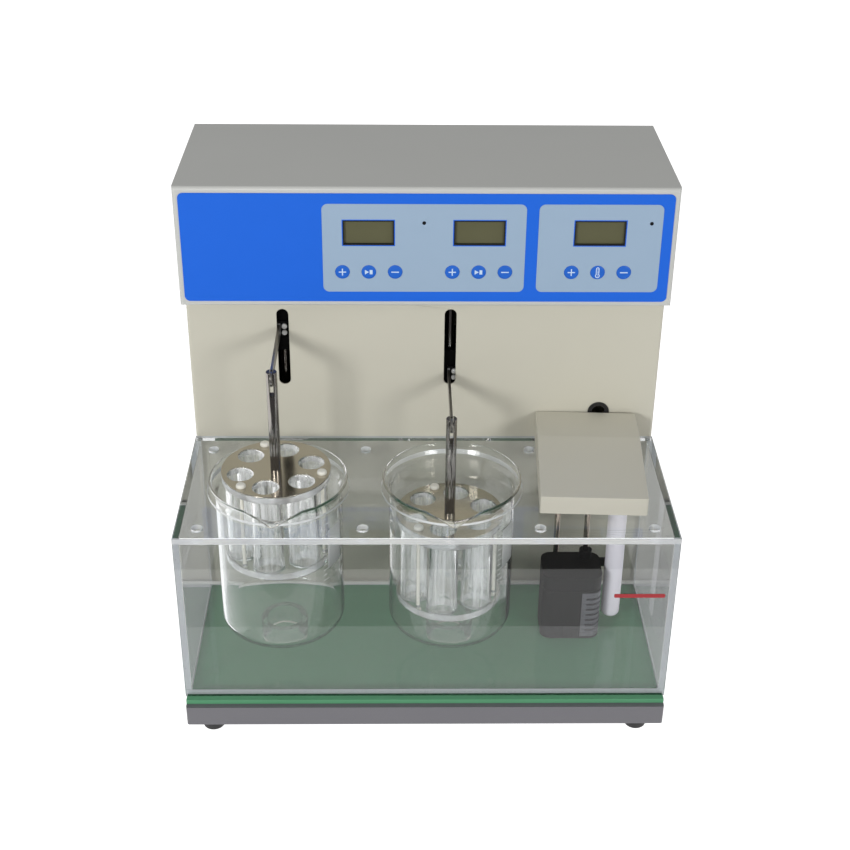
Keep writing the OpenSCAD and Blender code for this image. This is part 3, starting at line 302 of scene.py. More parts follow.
# the symbols are drawn in millimetres round the middle of the key
STROKE, ARM = 0.9, 6.0
cross = [bar(0, 0, ARM, STROKE), bar(0, (ARM + STROKE) / 4, STROKE, (ARM - STROKE) / 2),
         bar(0, -(ARM + STROKE) / 4, STROKE, (ARM - STROKE) / 2)]
minus = [bar(0, 0, ARM + 0.2, STROKE)]
start_stop = [np.array([(-3.2, -2), (0.1, 0), (-3.2, 2)]), bar(1.85, 0, 2.3, 3.8)]
TOP_Z, BULB_Z, MARK_ZS = 3.2, -2.9, (2.6, 1.3, 0, -1.3, -2.9)


def thermometer_outline(stem_r, bulb_r, meet):
    """Half-round top of the stem and the bulb, which meets the stem at the angle meet."""
    return np.concatenate([arc(0, TOP_Z, stem_r, 0, 180, 10),
                           arc(0, BULB_Z, bulb_r, meet, 540 - meet, 16)])


out, hollow = thermometer_outline(1.4, 1.9, 137), thermometer_outline(0.75, 1.2, 129)
thermometer = [np.array([out[i], out[i - 1], hollow[i - 1], hollow[i]])[::-1]
               for i in range(len(out))]
thermometer += [bar(0.15, z, STROKE, STROKE / 2) for z in MARK_ZS]
SYMBOLS = {"plus": cross, "minus": minus, "start": start_stop, "mode": thermometer}
INK, INK_SUNK = 0.07 * MM, 0.021 * MM
for name in KEYS:
    symbol = SYMBOLS[name.split("_")[-1]]
    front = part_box(name)[0].y - INK
    mesh_piece(name + "_symbol", *raised(symbol, middle(name), front, INK + INK_SUNK), key_ink,
               name, "key_film")

# ---------- drive inside the column
# Hidden but for what the slots show: near-black carriages and frame, ground guide rods and
# crank discs, grey motors, green boards and a varnished transformer. The rods and discs
# shine. The carriages and frame before them are painted shade, near-black to keep the slots
# as dark as the shade inside the column.


def bare_steel(name, colours, rough, line, relief, stretch=(1, 1, 1)):
    """Bare metal. With a stretch it has turning or drawing lines along one axis, which blur
    its reflections: the real ones are near 0.1 mm apart, and are drawn line millimetres apart,
    to show at all. Without one, line is the width of its unevenness."""
    return finish(name, colours, rough, cloud=25, grain=line, relief=relief, stretch=stretch,
                  Metallic=1.0)


def plastic(name, colours, roughness, grain, relief, shine=0.5):
    """Moulded plastic: even colour, with the mould's spark-eroded grain in its gloss. The
    real grain is near 0.2 mm, and grain millimetres draws it coarser, to show at all."""
    return finish(name, colours, rough=(roughness - 0.05, roughness + 0.05), cloud=20,
                  grain=grain, relief=relief, IOR=1.46, Specular_IOR_Level=shine)


UPRIGHT_LINES, DEPTH_LINES = (1, 1, 0.02), (1, 0.03, 1)
rod_steel = bare_steel("ground stainless rod", ("8E8A86", "9A9692"), rough=(0.10, 0.20), line=1.1,
                       relief=0.25, stretch=UPRIGHT_LINES)
# the carriages' black (painted shade), solder mask and varnish are dull skins, with the same
# settings as a plastic
carriage_shade_black = plastic("near-black carriages as painted shade", ("050505", "080808"), roughness=0.6,
                         grain=0.4, relief=1, shine=0.1)
# painted shade: the frame is near-black so that the slots stay as dark as their shade
frame_shade_black = enamel("near-black frame as painted shade", ("0D0D0E", "111113"), roughness=0.6, peel=2)
motor_grey = enamel("grey motor enamel", ("3E4147", "363940"), roughness=0.45, peel=4)
solder_mask = plastic("green solder mask", ("1E5A36", "23633C"), roughness=0.35, grain=0.7,
                      relief=1)
laminations = plastic("varnished laminations", ("3A3A3D", "4A4A4E"), roughness=0.5, grain=0.35,
                      relief=3)
dress("left_crank right_crank guide_rods", rod_steel, 0.3 * MM)
dress("left_carriage right_carriage", carriage_shade_black, 0.3 * MM)
dress("motor_frame", frame_shade_black)
dress("gearmotors", motor_grey)
dress("control_boards", solder_mask)
dress("transformer", laminations)

# ---------- mains inlet and switch
# Black glass-filled nylon, moulded and snapped into the rear panel. The glass comes up to
# the surface, which makes its gloss low and a little uneven.

black_nylon = plastic("black glass filled nylon", ("121213", "18181A"), roughness=0.38, grain=0.5,
                      relief=1.5)
dress("power_fittings switch_rocker", black_nylon, 0.3 * MM)

# ---------- water bath
# Five plates of 5 mm clear cast acrylic, cemented into one box. The polished faces reflect
# and let everything through; cemented joints and the floor's sawn edge show as pale bands.

ACRYLIC_IOR, TRAPPED_DEPTH = 1.49, 12


def clear(name, ior, roughness, hex_code, through):
    """Clear solid that refracts. Shadow and diffuse rays go straight on, times through, so
    that what is behind stays lit. So do rays that were mirrored after they had passed a
    surface, most of them inside the solid, and all rays past TRAPPED_DEPTH: they leave the
    real thing at its scratches and edges."""
    mat = bpy.data.materials.new(name)
    mat.use_nodes = True
    tree = mat.node_tree
    shader = tree.nodes["Principled BSDF"]
    for key, value in (("Transmission Weight", 1.0), ("IOR", ior), ("Roughness", roughness),
                       ("Base Color", linear(hex_code))):
        shader.inputs[key].default_value = value
    rays = add(tree, "ShaderNodeLightPath").outputs
    soft = add(tree, "ShaderNodeMath", {0: rays["Is Shadow Ray"], 1: rays["Is Diffuse Ray"]},
               operation="MAXIMUM")
    late = add(tree, "ShaderNodeMath", {0: rays["Ray Depth"], 1: TRAPPED_DEPTH},
               operation="GREATER_THAN")
    inside = add(tree, "ShaderNodeMath", {0: rays["Is Reflection Ray"],
                                          1: rays["Transmission Depth"]}, operation="MULTIPLY")
    trapped = add(tree, "ShaderNodeMath", {0: late.outputs[0], 1: inside.outputs[0]},
                  operation="MAXIMUM", use_clamp=True)
    either = add(tree, "ShaderNodeMath", {0: soft.outputs[0], 1: trapped.outputs[0]},
                 operation="MAXIMUM")
    straight = add(tree, "ShaderNodeBsdfTransparent", {"Color": (through, through, through, 1)})
    mix = add(tree, "ShaderNodeMixShader", {"Fac": either.outputs[0], 1: shader.outputs["BSDF"],
                                            2: straight.outputs["BSDF"]})
    tree.links.new(mix.outputs["Shader"], tree.nodes["Material Output"].inputs["Surface"])
    return mat


def frosted(name, colours, clearness, rough, relief):
    """Sawn, drilled or cemented acrylic: scatters some light and lets the rest through."""
    return finish(name, colours, rough, cloud=2.5, grain=0.9, relief=relief, IOR=ACRYLIC_IOR,
                  Transmission_Weight=clearness)


acrylic = clear("clear cast acrylic", ACRYLIC_IOR, roughness=0.0, hex_code="F1F3F4", through=0.93)
joint = frosted("cemented acrylic joint", ("D5DBE0", "E6E9EC"), clearness=0.5, rough=(0.2, 0.45),
                relief=3)
cement = frosted("milky acrylic cement", ("DCDCD6", "ECECE8"), clearness=0.1, rough=(0.3, 0.5),
                 relief=4)
WALL, SKIN, FILLET, POLISHED_EDGE = 5 * MM, 0.1 * MM, 2.4 * MM, 0.3 * MM
low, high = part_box("water_tank")
step = Vector((WALL, WALL, WALL))
outer, _ = boxes([(low, high)])
inner, _ = boxes([(low + step, (*(high - step).xy, high.z))])
# the upper corners have odd numbers: both boxes lose the face that has only these, and a
# ring joins their rims
walls = [face for face in BOX_FACES if not all(i & 1 for i in face)]
rim = [(1, 5, 13, 9), (5, 7, 15, 13), (7, 3, 11, 15), (3, 1, 9, 11)]
bath = mesh_piece("bath_shell", np.concatenate([outer, inner]),
                  walls + [face[::-1] + 8 for face in walls] + rim, acrylic, "machine",
                  "clear_acrylic", ["water_tank"])
edge = bath.modifiers.new("edge", "BEVEL")
edge.width, edge.segments, edge.harden_normals = POLISHED_EDGE, 2, True
edge.limit_method = "ANGLE"

# the floor's edge and the side walls' ends, inside the acrylic where the plates meet
bands = []
for y in (low.y + WALL, high.y - WALL):
    bands.append(((low.x + SKIN, y - SKIN / 2, low.z + SKIN),
                  (high.x - SKIN, y + SKIN / 2, low.z + WALL - SKIN)))
    for x in (low.x + SKIN, high.x - WALL + SKIN):
        bands.append(((x, y - SKIN / 2, low.z + WALL + SKIN),
                      (x + WALL - 2 * SKIN, y + SKIN / 2, high.z - SKIN)))
for x in (low.x + WALL, high.x - WALL):
    bands.append(((x - SKIN / 2, low.y + WALL + SKIN, low.z + SKIN),
                  (x + SKIN / 2, high.y - WALL - SKIN, low.z + WALL - SKIN)))
mesh_piece("bath_joints", *boxes(bands), joint, "machine", "clear_acrylic")

# the bead of cement along the foot of the rear wall
bead = [((low.x + WALL + SKIN, high.y - WALL - FILLET, low.z + WALL + SKIN),
         (high.x - WALL - SKIN, high.y - WALL - SKIN, low.z + WALL + FILLET))]
mesh_piece("bath_cement", *boxes(bead), cement, "machine", "clear_acrylic")

# ---------- level mark
# A short bar of red ink, screen printed on the front wall. The ink is thick enough to have
# an edge, and dries to a soft gloss.

screen_red = finish("red screen ink", ("A8242B", "A22228"), rough=(0.32, 0.38), cloud=5, grain=1,
                    relief=0.5, IOR=1.5)
dress("level_mark", screen_red, 0.1 * MM)

# ---------- bath lid
# A loose 5 mm acrylic sheet with polished faces. Its sawn outline and its drilled holes
# stay satin, so the holes show as white rings.

STEEP, TOOL_MARKS, TOOL_DEPTH = 0.5, 0.9 * MM, 0.05 * MM


def by_slope(mat, upright, hex_code, roughness, **sockets):
    """Gives the upright faces of a material, or the level ones, a sawn or drilled finish. A
    face is upright where the height of its normal is under STEEP."""
    tree = mat.node_tree
    output = tree.nodes["Material Output"].inputs["Surface"]
    normal = add(tree, "ShaderNodeSeparateXYZ", {
        "Vector": add(tree, "ShaderNodeNewGeometry").outputs["True Normal"]})
    height = add(tree, "ShaderNodeMath", {0: normal.outputs["Z"]}, operation="ABSOLUTE")
    picked = add(tree, "ShaderNodeMath", {0: height.outputs[0], 1: STEEP},
                 operation="LESS_THAN" if upright else "GREATER_THAN")
    place = add(tree, "ShaderNodeTexCoord").outputs["Object"]
    marks = add(tree, "ShaderNodeTexNoise", {"Vector": place, "Scale": 1 / TOOL_MARKS})
    dents = add(tree, "ShaderNodeBump", {"Height": marks.outputs["Fac"], "Distance": TOOL_DEPTH})
    face = add(tree, "ShaderNodeBsdfPrincipled", {
        "Base Color": linear(hex_code), "Roughness": roughness, "Normal": dents.outputs["Normal"],
        **{key.replace("_", " "): value for key, value in sockets.items()}})
    mix = add(tree, "ShaderNodeMixShader", {"Fac": picked.outputs[0],
                                            1: output.links[0].from_socket,
                                            2: face.outputs["BSDF"]})
    tree.links.new(mix.outputs["Shader"], output)
    return mat


lid_sheet = clear("clear acrylic sheet", ACRYLIC_IOR, roughness=0.0, hex_code="F4F6F6",
                  through=0.93)
by_slope(lid_sheet, upright=True, hex_code="E6E9EC", roughness=0.35, IOR=ACRYLIC_IOR,
         Transmission_Weight=0.45)
dress("tank_lid", lid_sheet, 0.3 * MM)

# ---------- ring stands
# Two short lengths of extruded clear acrylic tube on the bath's floor, with turned ends.
# Extruding leaves the walls a touch less sharp than cast plate, and they show as pale rings.

ring_tube = clear("clear acrylic tube", ACRYLIC_IOR, roughness=0.03, hex_code="F6F8F8",
                  through=0.97)
dress("beaker_rings", ring_tube, 0.5 * MM)

# ---------- beakers
# Blown 1000 ml beakers of borosilicate glass with a flared, fire-polished rim and a pressed
# V-shaped lip. White fired enamel gives a writing patch and a column of short marks.

GLASS_IOR = 1.47
BEAKER_R, BEAKER_H, GLASS = 52.5 * MM, 142 * MM, 2.3 * MM
CORNER, FLARE, FLARE_H = 12 * MM, 5 * MM, 14 * MM
# the bottom is pushed up, by PUSH_UP in the middle and by PUSH_RING at PUSH_R
PUSH_UP, PUSH_RING, PUSH_R = 1 * MM, 0.4 * MM, 30 * MM
RIM_R = BEAKER_R + FLARE
LIP_HALF, LIP_REACH, LIP_DIP, LIP_TALL = math.radians(24), 16.3 * MM, 4.4 * MM, 13 * MM
TIP_ROUND, ROOT_ROUND, LIP_SPREAD = math.radians(1.6), 0.7 * MM, 1.6
BATH_YC = middle("tank_lid").y


def surface(name, grids, mat, body, slot, replaced=(), rows=True, columns=True):
    """A smooth piece of one or more grids [row, column, xyz]. Neighbours on a grid share a
    quad, rows and columns say which way it closes, and a negative volume turns it over."""
    verts, quads, base = [], [], 0
    for grid in grids:
        ids = base + np.arange(grid.shape[0] * grid.shape[1]).reshape(grid.shape[:2])
        ids = np.concatenate([ids, ids[:1]]) if rows else ids
        ids = np.concatenate([ids, ids[:, :1]], 1) if columns else ids
        quad = np.stack([ids[:-1, :-1], ids[1:, :-1], ids[1:, 1:], ids[:-1, 1:]], -1).reshape(-1, 4)
        points = grid.reshape(-1, 3)
        a, b, c, d = (points[quad[:, k] - base] - points.mean(0) for k in range(4))
        volume = (np.cross(a, b) * c).sum() + (np.cross(a, c) * d).sum()
        quads.append(quad if volume > 0 else quad[:, ::-1])
        verts.append(points)
        base += len(points)
    obj = mesh_piece(name, np.concatenate(verts), np.concatenate(quads), mat, body, slot,
                     replaced, smooth=True)
    weld = obj.modifiers.new("poles", "WELD")
    weld.merge_threshold = HUNDREDTH
    return obj


def turned(profile, angles, centre):
    """Grid of a profile [r, z] turned about the vertical through centre. A profile may also
    have one section for each angle."""
    sections = np.broadcast_to(profile, (len(angles), *profile.shape[-2:]))
    r, z = sections[..., 0], sections[..., 1]
    a = angles[:, None]
    return np.stack([centre[0] + r * np.cos(a), centre[1] + r * np.sin(a), centre[2] + z], -1)


def flare(r, top):
    """Rim section: the wall bends outwards on a quarter of a cosine."""
    t = np.linspace(0, 1, 17)
    wall_top = BEAKER_H - FLARE_H
    return np.stack([r + FLARE * (1 - np.cos(t * np.pi / 2)), wall_top + (top - wall_top) * t], 1)


def beaker_section():
    """Section from the middle of the bottom up the outside, over the rim and down inside."""
    half = GLASS / 2
    rim_z, bend_r, inner_r = BEAKER_H - half, BEAKER_R - CORNER, BEAKER_R - GLASS
    side = np.linspace(CORNER, BEAKER_H - FLARE_H, 9)[1:-1]
    outside = [[(0, PUSH_UP), (PUSH_R, PUSH_RING)], arc(bend_r, CORNER, CORNER, -88, 0, 14),
               np.stack([np.full_like(side, BEAKER_R), side], 1), flare(BEAKER_R, rim_z)]
    inside = [flare(inner_r, rim_z)[::-1], np.stack([np.full_like(side, inner_r), side[::-1]], 1),
              arc(bend_r, CORNER, CORNER - GLASS, 0, -88, 14),
              [(PUSH_R, GLASS + PUSH_RING), (0, GLASS + PUSH_UP)]]
    return np.concatenate(outside + [arc(RIM_R - half, rim_z, half, 6, 174, 28)] + inside)


def pressed_lip(section, angles):
    """Draws the rim out to a V with straight sides and a round tip that points forwards: the
    reach is the distance along the ray at an angle from the rim to the V's side."""
    turn = np.abs((angles + 1.5 * np.pi) % (2 * np.pi) - np.pi)
    soft = np.sqrt(turn ** 2 + TIP_ROUND ** 2)
    corner = RIM_R * np.array([math.sin(LIP_HALF), math.cos(LIP_HALF)])
    tip = np.array([0, RIM_R + LIP_REACH])
    normal = np.array([corner[1] - tip[1], tip[0] - corner[0]])
    ray = np.stack([np.sin(soft), np.cos(soft)], 1)
    reach = np.where(turn < LIP_SPREAD * LIP_HALF, normal @ tip / (ray @ normal) - RIM_R, -RIM_R)
    reach = (reach + np.sqrt(reach ** 2 + ROOT_ROUND ** 2)) / 2
    depth = np.clip((section[:, 1] - BEAKER_H + LIP_TALL) / LIP_TALL, 0, 1) ** 2
    pull = reach[:, None] * depth
    return np.stack([section[:, 0] + pull, section[:, 1] - pull * LIP_DIP / LIP_REACH], -1)


borosilicate = clear("borosilicate glass", GLASS_IOR, roughness=0.0, hex_code="FBFDFC",
                     through=0.98)
fired_white = finish("white fired enamel", ("E4E6E4", "F6F7F6"), rough=(0.45, 0.55), cloud=1.4,
                     grain=0.8, relief=1, IOR=1.5, Transmission_Weight=0.35)
# the sections stand closer together within LIP_ARC degrees of the lip
FRONT, LIP_ARC = -np.pi / 2, 27
near_lip = np.linspace(-LIP_ARC, LIP_ARC, 108)
around = np.concatenate([near_lip, np.linspace(LIP_ARC, 360 - LIP_ARC, 205)[1:-1]])
ANGLES = FRONT + np.radians(around)
# writing patch and marks: first and last angle in degrees, low and high edge in millimetres
PATCH = (52, 74, 74, 107)
MARKS = [(46, 50 if i % 2 else 53, 64 + 5 * i, 64.7 + 5 * i) for i in range(12)]
INK_T = 0.08 * MM
section = beaker_section()
for side in ("left", "right"):
    centre = middle(side + "_beaker")
    centre = (centre.x, BATH_YC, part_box(side + "_beaker")[0].z)
    surface(side + "_glass", [turned(pressed_lip(section, ANGLES), ANGLES, centre)],
            borosilicate, side + "_beaker", "beaker_glass", [side + "_beaker"], columns=False)
    marks = []
    for first, last, low_z, high_z in [PATCH] + MARKS:
        a = FRONT + np.radians(np.linspace(first, last, 9))
        skin = np.array([[BEAKER_R, low_z * MM], [BEAKER_R + INK_T, low_z * MM],
                         [BEAKER_R + INK_T, high_z * MM], [BEAKER_R, high_z * MM]])
        ends = turned(np.tile(skin.mean(0), (4, 1)), a[[0, -1]], centre)
        marks.append(np.concatenate([ends[:1], turned(skin, a, centre), ends[1:]]))
    surface(side + "_marks", marks, fired_white, side + "_beaker", "beaker_glass", rows=False)

# ---------- lift arms
# Blades stamped from 2 mm stainless sheet, with fine brushed lines along them. The foot that
# is screwed to the carriage is painted near-black as the shade inside the slot, and its two
# screws show there as a band of bright steel with a painted glint.

stamped = bare_steel("stamped stainless sheet", ("8F8C87", "9D9A94"), rough=(0.26, 0.40), line=0.8,
                     relief=0.4, stretch=DEPTH_LINES)
# the foot starts FOOT in front of the carriage, and the screws' heads HEADS before that
FOOT, HEADS = 2.2 * MM, 3.2 * MM
FOOT_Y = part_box("left_carriage")[0].y - FOOT
tree = stamped.node_tree
depth = add(tree, "ShaderNodeSeparateXYZ", {
    "Vector": add(tree, "ShaderNodeTexCoord").outputs["Object"]}).outputs["Y"]
# painted shade: behind FOOT_Y the blade is near-black, as the inside of the slot is in shade
in_slot_shade = add(tree, "ShaderNodeMath", {0: depth, 1: FOOT_Y}, operation="GREATER_THAN")
near = add(tree, "ShaderNodeMath", {0: depth, 1: FOOT_Y - HEADS}, operation="GREATER_THAN")
slot_shade = add(tree, "ShaderNodeBsdfPrincipled", {
    "Base Color": linear("070707"), "Roughness": 0.6, "Specular IOR Level": 0.1})
# the two screw heads as a near-white band: their bright steel, with a painted glint
screws_and_glint = add(tree, "ShaderNodeBsdfPrincipled", {"Base Color": linear("F2F2F0"), "Metallic": 0.6,
                                                "Roughness": 0.35})
mix = add(tree, "ShaderNodeMixShader", {"Fac": near.outputs[0],
                                        1: tree.nodes["Principled BSDF"].outputs["BSDF"],
                                        2: screws_and_glint.outputs["BSDF"]})
mix = add(tree, "ShaderNodeMixShader", {"Fac": in_slot_shade.outputs[0], 1: mix.outputs["Shader"],
                                        2: slot_shade.outputs["BSDF"]})
tree.links.new(mix.outputs["Shader"], tree.nodes["Material Output"].inputs["Surface"])
dress("left_lift_arm right_lift_arm", stamped, 0.3 * MM)

# ---------- basket rods
# Turned and ground stainless rods with a sawn fork and a cross pin at the top. The ground
# sides mirror the room in narrow upright bands, and the sawn ends are dull.

turned_steel = bare_steel("turned stainless rod", ("8E8A86", "9A9692"), rough=(0.08, 0.16),
                          line=1.1, relief=0.15, stretch=UPRIGHT_LINES)
by_slope(turned_steel, upright=False, hex_code="6B6865", roughness=0.5, Metallic=1.0)
dress("left_hanger right_hanger", turned_steel, 0.3 * MM)

# ---------- basket top plates and cap nuts
# 1 mm stainless plates, polished so that they mirror the room with a slight blur, held by
# three tie bolts under low caps of white moulded nylon.

polished_plate = bare_steel("polished stainless plate", ("B8B2A6", "BEB8AC"), rough=(0.12, 0.18),
                            line=17, relief=0.5)
white_caps = plastic("white nylon", ("EFEDE2", "E6E4D8"), roughness=0.35, grain=0.8, relief=0.5)
dress("left_top_plate right_top_plate", polished_plate, 0.15 * MM)
dress("left_tie_bolts right_tie_bolts", white_caps, 0.3 * MM)

# ---------- basket tubes and plates
# Drawn glass tubes with fire-polished ends, through two turned acrylic plates. The bores of
# the plates are left as drilled, so they are satin and catch the light. Faint whitish upright
# streaks along the tubes are painted highlights, in place of the softboxes' reflections.

TUBE_R, BORE_R, CIRCLE_R = 25.5 * MM / 2, 21.5 * MM / 2, 30 * MM
SEATS = np.radians(18 + 60 * np.arange(6))
# the painted highlights stand in for reflections near 1 mm wide, and are drawn 3.5 mm wide
# to show through the beaker
HIGHLIGHT_W, HIGHLIGHT_CLEARNESS, HIGHLIGHT_EDGES = 3.5 * MM, 0.7, (0.46, 0.62)
drawn_glass = clear("drawn glass tube", GLASS_IOR, roughness=0.0, hex_code="FDFEFE", through=0.98)
tree = drawn_glass.node_tree
place = add(tree, "ShaderNodeMapping", {
    "Vector": add(tree, "ShaderNodeTexCoord").outputs["Object"], "Scale": UPRIGHT_LINES})
# painted highlight: upright bands where the glass is less clear and scatters white
painted_highlights = add(tree, "ShaderNodeTexNoise", {"Vector": place.outputs["Vector"],
                                           "Scale": 1 / HIGHLIGHT_W, "Detail": 4.0})
clearness = add(tree, "ShaderNodeMapRange", {
    "Value": painted_highlights.outputs["Fac"], "From Min": HIGHLIGHT_EDGES[0], "From Max": HIGHLIGHT_EDGES[1],
    "To Min": 1.0, "To Max": HIGHLIGHT_CLEARNESS})
tree.links.new(clearness.outputs["Result"],
               tree.nodes["Principled BSDF"].inputs["Transmission Weight"])
disc_acrylic = clear("clear turned acrylic", ACRYLIC_IOR, roughness=0.02, hex_code="F8FAFA",
                     through=0.97)
by_slope(disc_acrylic, upright=True, hex_code="F2F4F5", roughness=0.22, IOR=ACRYLIC_IOR,
         Transmission_Weight=0.7)
dress("left_discs right_discs", disc_acrylic, 0.4 * MM)


def seat_at(x, angle, z):
    """Middle of a tube on the circle round the basket's rod."""
    return x + CIRCLE_R * math.cos(angle), BATH_YC + CIRCLE_R * math.sin(angle), z


def full_turn(steps):
    """Angles of one turn, without the last, which is the first again."""
    return np.linspace(0, 2 * np.pi, steps, endpoint=False)


for side in ("left", "right"):
    low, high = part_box(side + "_tubes")
    x, tall = middle(side + "_hanger").x, high.z - low.z
    mid, half = (TUBE_R + BORE_R) / 2, (TUBE_R - BORE_R) / 2
    ring = np.concatenate([arc(mid, half, half, 180, 360, 8),
                           arc(mid, tall - half, half, 0, 180, 8)])
    surface(side + "_glass_tubes",
            [turned(ring, full_turn(72), seat_at(x, angle, low.z)) for angle in SEATS],
            drawn_glass, side + "_basket", "tube_glass", [side + "_tubes"])

# ---------- woven screens
# Plain weave of 0.56 mm stainless wire at 2 mm pitch under each tube, and a flat rim. The
# wires glint where they cross. A wire's height is a cosine of its length, in step with the
# wires that it crosses.

PITCH, WIRE_R, REACH = 2 * MM, 0.28 * MM, BORE_R + 0.6 * MM
RIM_OUT, RIM_IN, RIM_HALF = 44.4 * MM, 41 * MM, 0.3 * MM
UP = np.array([0, 0, 1])
woven_steel = bare_steel("woven stainless wire", ("D5D3CF", "E2E0DC"), rough=(0.12, 0.2), line=1.1,
                         relief=0.3)


def wire(start, end, phase):
    """Grid of a five-sided wire of 30 sections, whose ends taper to a point over one of them."""
    t = np.linspace(0, 1, 30)[:, None]
    points = start + (end - start) * t
    run = np.linalg.norm(end - start) * (t - 0.5)
    points = points + UP * phase * WIRE_R * np.cos(run / PITCH * np.pi)
    along = (end - start) / np.linalg.norm(end - start)
    across = np.cross(along, UP)
    a = np.radians(72 * np.arange(5))[None, :, None]
    thick = WIRE_R * np.minimum(1, 30 * np.minimum(t, 1 - t))[..., None]
    return points[:, None] + thick * (np.cos(a) * across + np.sin(a) * UP)


for side in ("left", "right"):
    x, z = middle(side + "_hanger").x, middle(side + "_screen").z
    offsets = PITCH * np.arange(-int(REACH / PITCH), int(REACH / PITCH) + 1)
    wires = []
    for angle in SEATS:
        seat = np.array(seat_at(x, angle, z))
        for i, offset in enumerate(offsets):
            half = math.sqrt(REACH ** 2 - offset ** 2)
            sign = 1 if i % 2 else -1
            for u, v in (((1, 0, 0), (0, 1, 0)), ((0, 1, 0), (1, 0, 0))):
                u, v = np.array(u) * half, np.array(v) * offset
                wires.append(wire(seat + v - u, seat + v + u, sign))
                sign = -sign
    surface(side + "_woven_screen", wires, woven_steel, side + "_basket", "screen_wire",
            [side + "_screen"], rows=False)
    rim = np.array([(RIM_OUT, -RIM_HALF), (RIM_OUT, RIM_HALF), (RIM_IN, RIM_HALF),
                    (RIM_IN, -RIM_HALF)])
    surface(side + "_screen_rim", [turned(rim, full_turn(96), (x, BATH_YC, z))], woven_steel,
            side + "_basket", "screen_wire")

# ---------- heater unit
# A folded cream cover over a white nylon plate on the lid. The plate holds the heater in its
# waxy white PTFE sheath, the bright steel probe and the rod of the pump, whose black ABS body
# and grey ABS intake are moulded and matt.

cover_cream = enamel("warm cream enamel", ("CFCCBE", "CBC8BA"), roughness=0.45, peel=2.4)
plate_nylon = plastic("white moulded nylon", ("E4E4E2", "DDDDDB"), roughness=0.5, grain=0.7,
                      relief=2)
sheath = plastic("white PTFE sheath", ("FBF8FF", "F6F3FD"), roughness=0.38, grain=1.4, relief=0.5)
thin_tube = bare_steel("polished stainless tube", ("96897E", "A3968B"), rough=(0.12, 0.20),
                       line=1.2, relief=0.2, stretch=UPRIGHT_LINES)
black_abs = plastic("black moulded ABS", ("060606", "090909"), roughness=0.5, grain=2, relief=0.2,
                    shine=0.12)
grey_abs = plastic("grey moulded ABS", ("5E5F65", "64656B"), roughness=0.5, grain=2, relief=0.2)
dress("heater_cover", cover_cream, 0.9 * MM, angle=50)
dress("heater_plate", plate_nylon, 0.5 * MM)
dress("heater_tube", sheath)
dress("hanging_rods", thin_tube, 0.2 * MM)
dress("circulation_pump", black_abs, 0.6 * MM)
dress("pump_strainer", grey_abs, 0.3 * MM)

# ---------- floor
# A plain matt white table. Rays from the camera, off a mirror or bent by six surfaces or more
# see it glow white, and other bent rays see it dimmer. Past its front edge, mirrored and less
# bent rays see the dim room behind the camera.

TABLE_FRONT, FLOOR_HALF, DEEP = -0.38, 9, 5.5
WHITE_GLOW, BENT_GLOW, ROOM_GLOW = 0.9, 0.36, 0.12
white_table = finish("white table", ("E6E6E6", "E8E8E8"), rough=(0.85, 0.95), cloud=300, grain=2,
                     relief=0)
tree = white_table.node_tree
rays = add(tree, "ShaderNodeLightPath").outputs
place = add(tree, "ShaderNodeSeparateXYZ", {
    "Vector": add(tree, "ShaderNodeTexCoord").outputs["Object"]})
deep = add(tree, "ShaderNodeMath", {0: rays["Transmission Depth"], 1: DEEP},
           operation="GREATER_THAN")
bent = add(tree, "ShaderNodeMath", {0: rays["Is Transmission Ray"], 1: deep.outputs[0]},
           operation="MULTIPLY")
# a ray that has gone through glass counts as glossy too
mirror = add(tree, "ShaderNodeMath", {0: rays["Is Glossy Ray"], 1: rays["Is Transmission Ray"]},
             operation="SUBTRACT")
mirrored = add(tree, "ShaderNodeMath", {0: mirror.outputs[0], 1: bent.outputs[0]},
               operation="MAXIMUM")
white = add(tree, "ShaderNodeMath", {0: rays["Is Camera Ray"], 1: mirrored.outputs[0]},
            operation="MAXIMUM")
faint = add(tree, "ShaderNodeMath", {0: rays["Is Transmission Ray"], 1: BENT_GLOW},
            operation="MULTIPLY")
glow = add(tree, "ShaderNodeMath", {0: white.outputs[0], 1: WHITE_GLOW}, operation="MULTIPLY")
glow = add(tree, "ShaderNodeMath", {0: glow.outputs[0], 1: faint.outputs[0]}, operation="MAXIMUM")
shine = add(tree, "ShaderNodeEmission", {"Color": (1, 1, 1, 1), "Strength": glow.outputs[0]})
lit = add(tree, "ShaderNodeAddShader", {0: tree.nodes["Principled BSDF"].outputs["BSDF"],
                                        1: shine.outputs["Emission"]})
dark = add(tree, "ShaderNodeEmission", {"Color": (1, 1, 1, 1), "Strength": ROOM_GLOW})
beyond = add(tree, "ShaderNodeMath", {0: place.outputs["Y"], 1: TABLE_FRONT},
             operation="LESS_THAN")
seen = add(tree, "ShaderNodeMath", {0: rays["Is Glossy Ray"], 1: rays["Is Transmission Ray"]},
           operation="MAXIMUM")
shallow = add(tree, "ShaderNodeMath", {0: seen.outputs[0], 1: deep.outputs[0]},
              operation="GREATER_THAN")
room = add(tree, "ShaderNodeMath", {0: beyond.outputs[0], 1: shallow.outputs[0]},
           operation="MULTIPLY")
mix = add(tree, "ShaderNodeMixShader", {"Fac": room.outputs[0], 1: lit.outputs["Shader"],
                                        2: dark.outputs["Emission"]})
tree.links.new(mix.outputs["Shader"], tree.nodes["Material Output"].inputs["Surface"])
me = bpy.data.meshes.new("floor")
corners = [(x * FLOOR_HALF, y * FLOOR_HALF, 0) for x, y in ((-1, -1), (1, -1), (1, 1), (-1, 1))]
me.from_pydata(corners, [], [(0, 1, 2, 3)])
me.materials.append(white_table)
floor = bpy.data.objects.new("floor", me)
bpy.context.scene.collection.objects.link(floor)

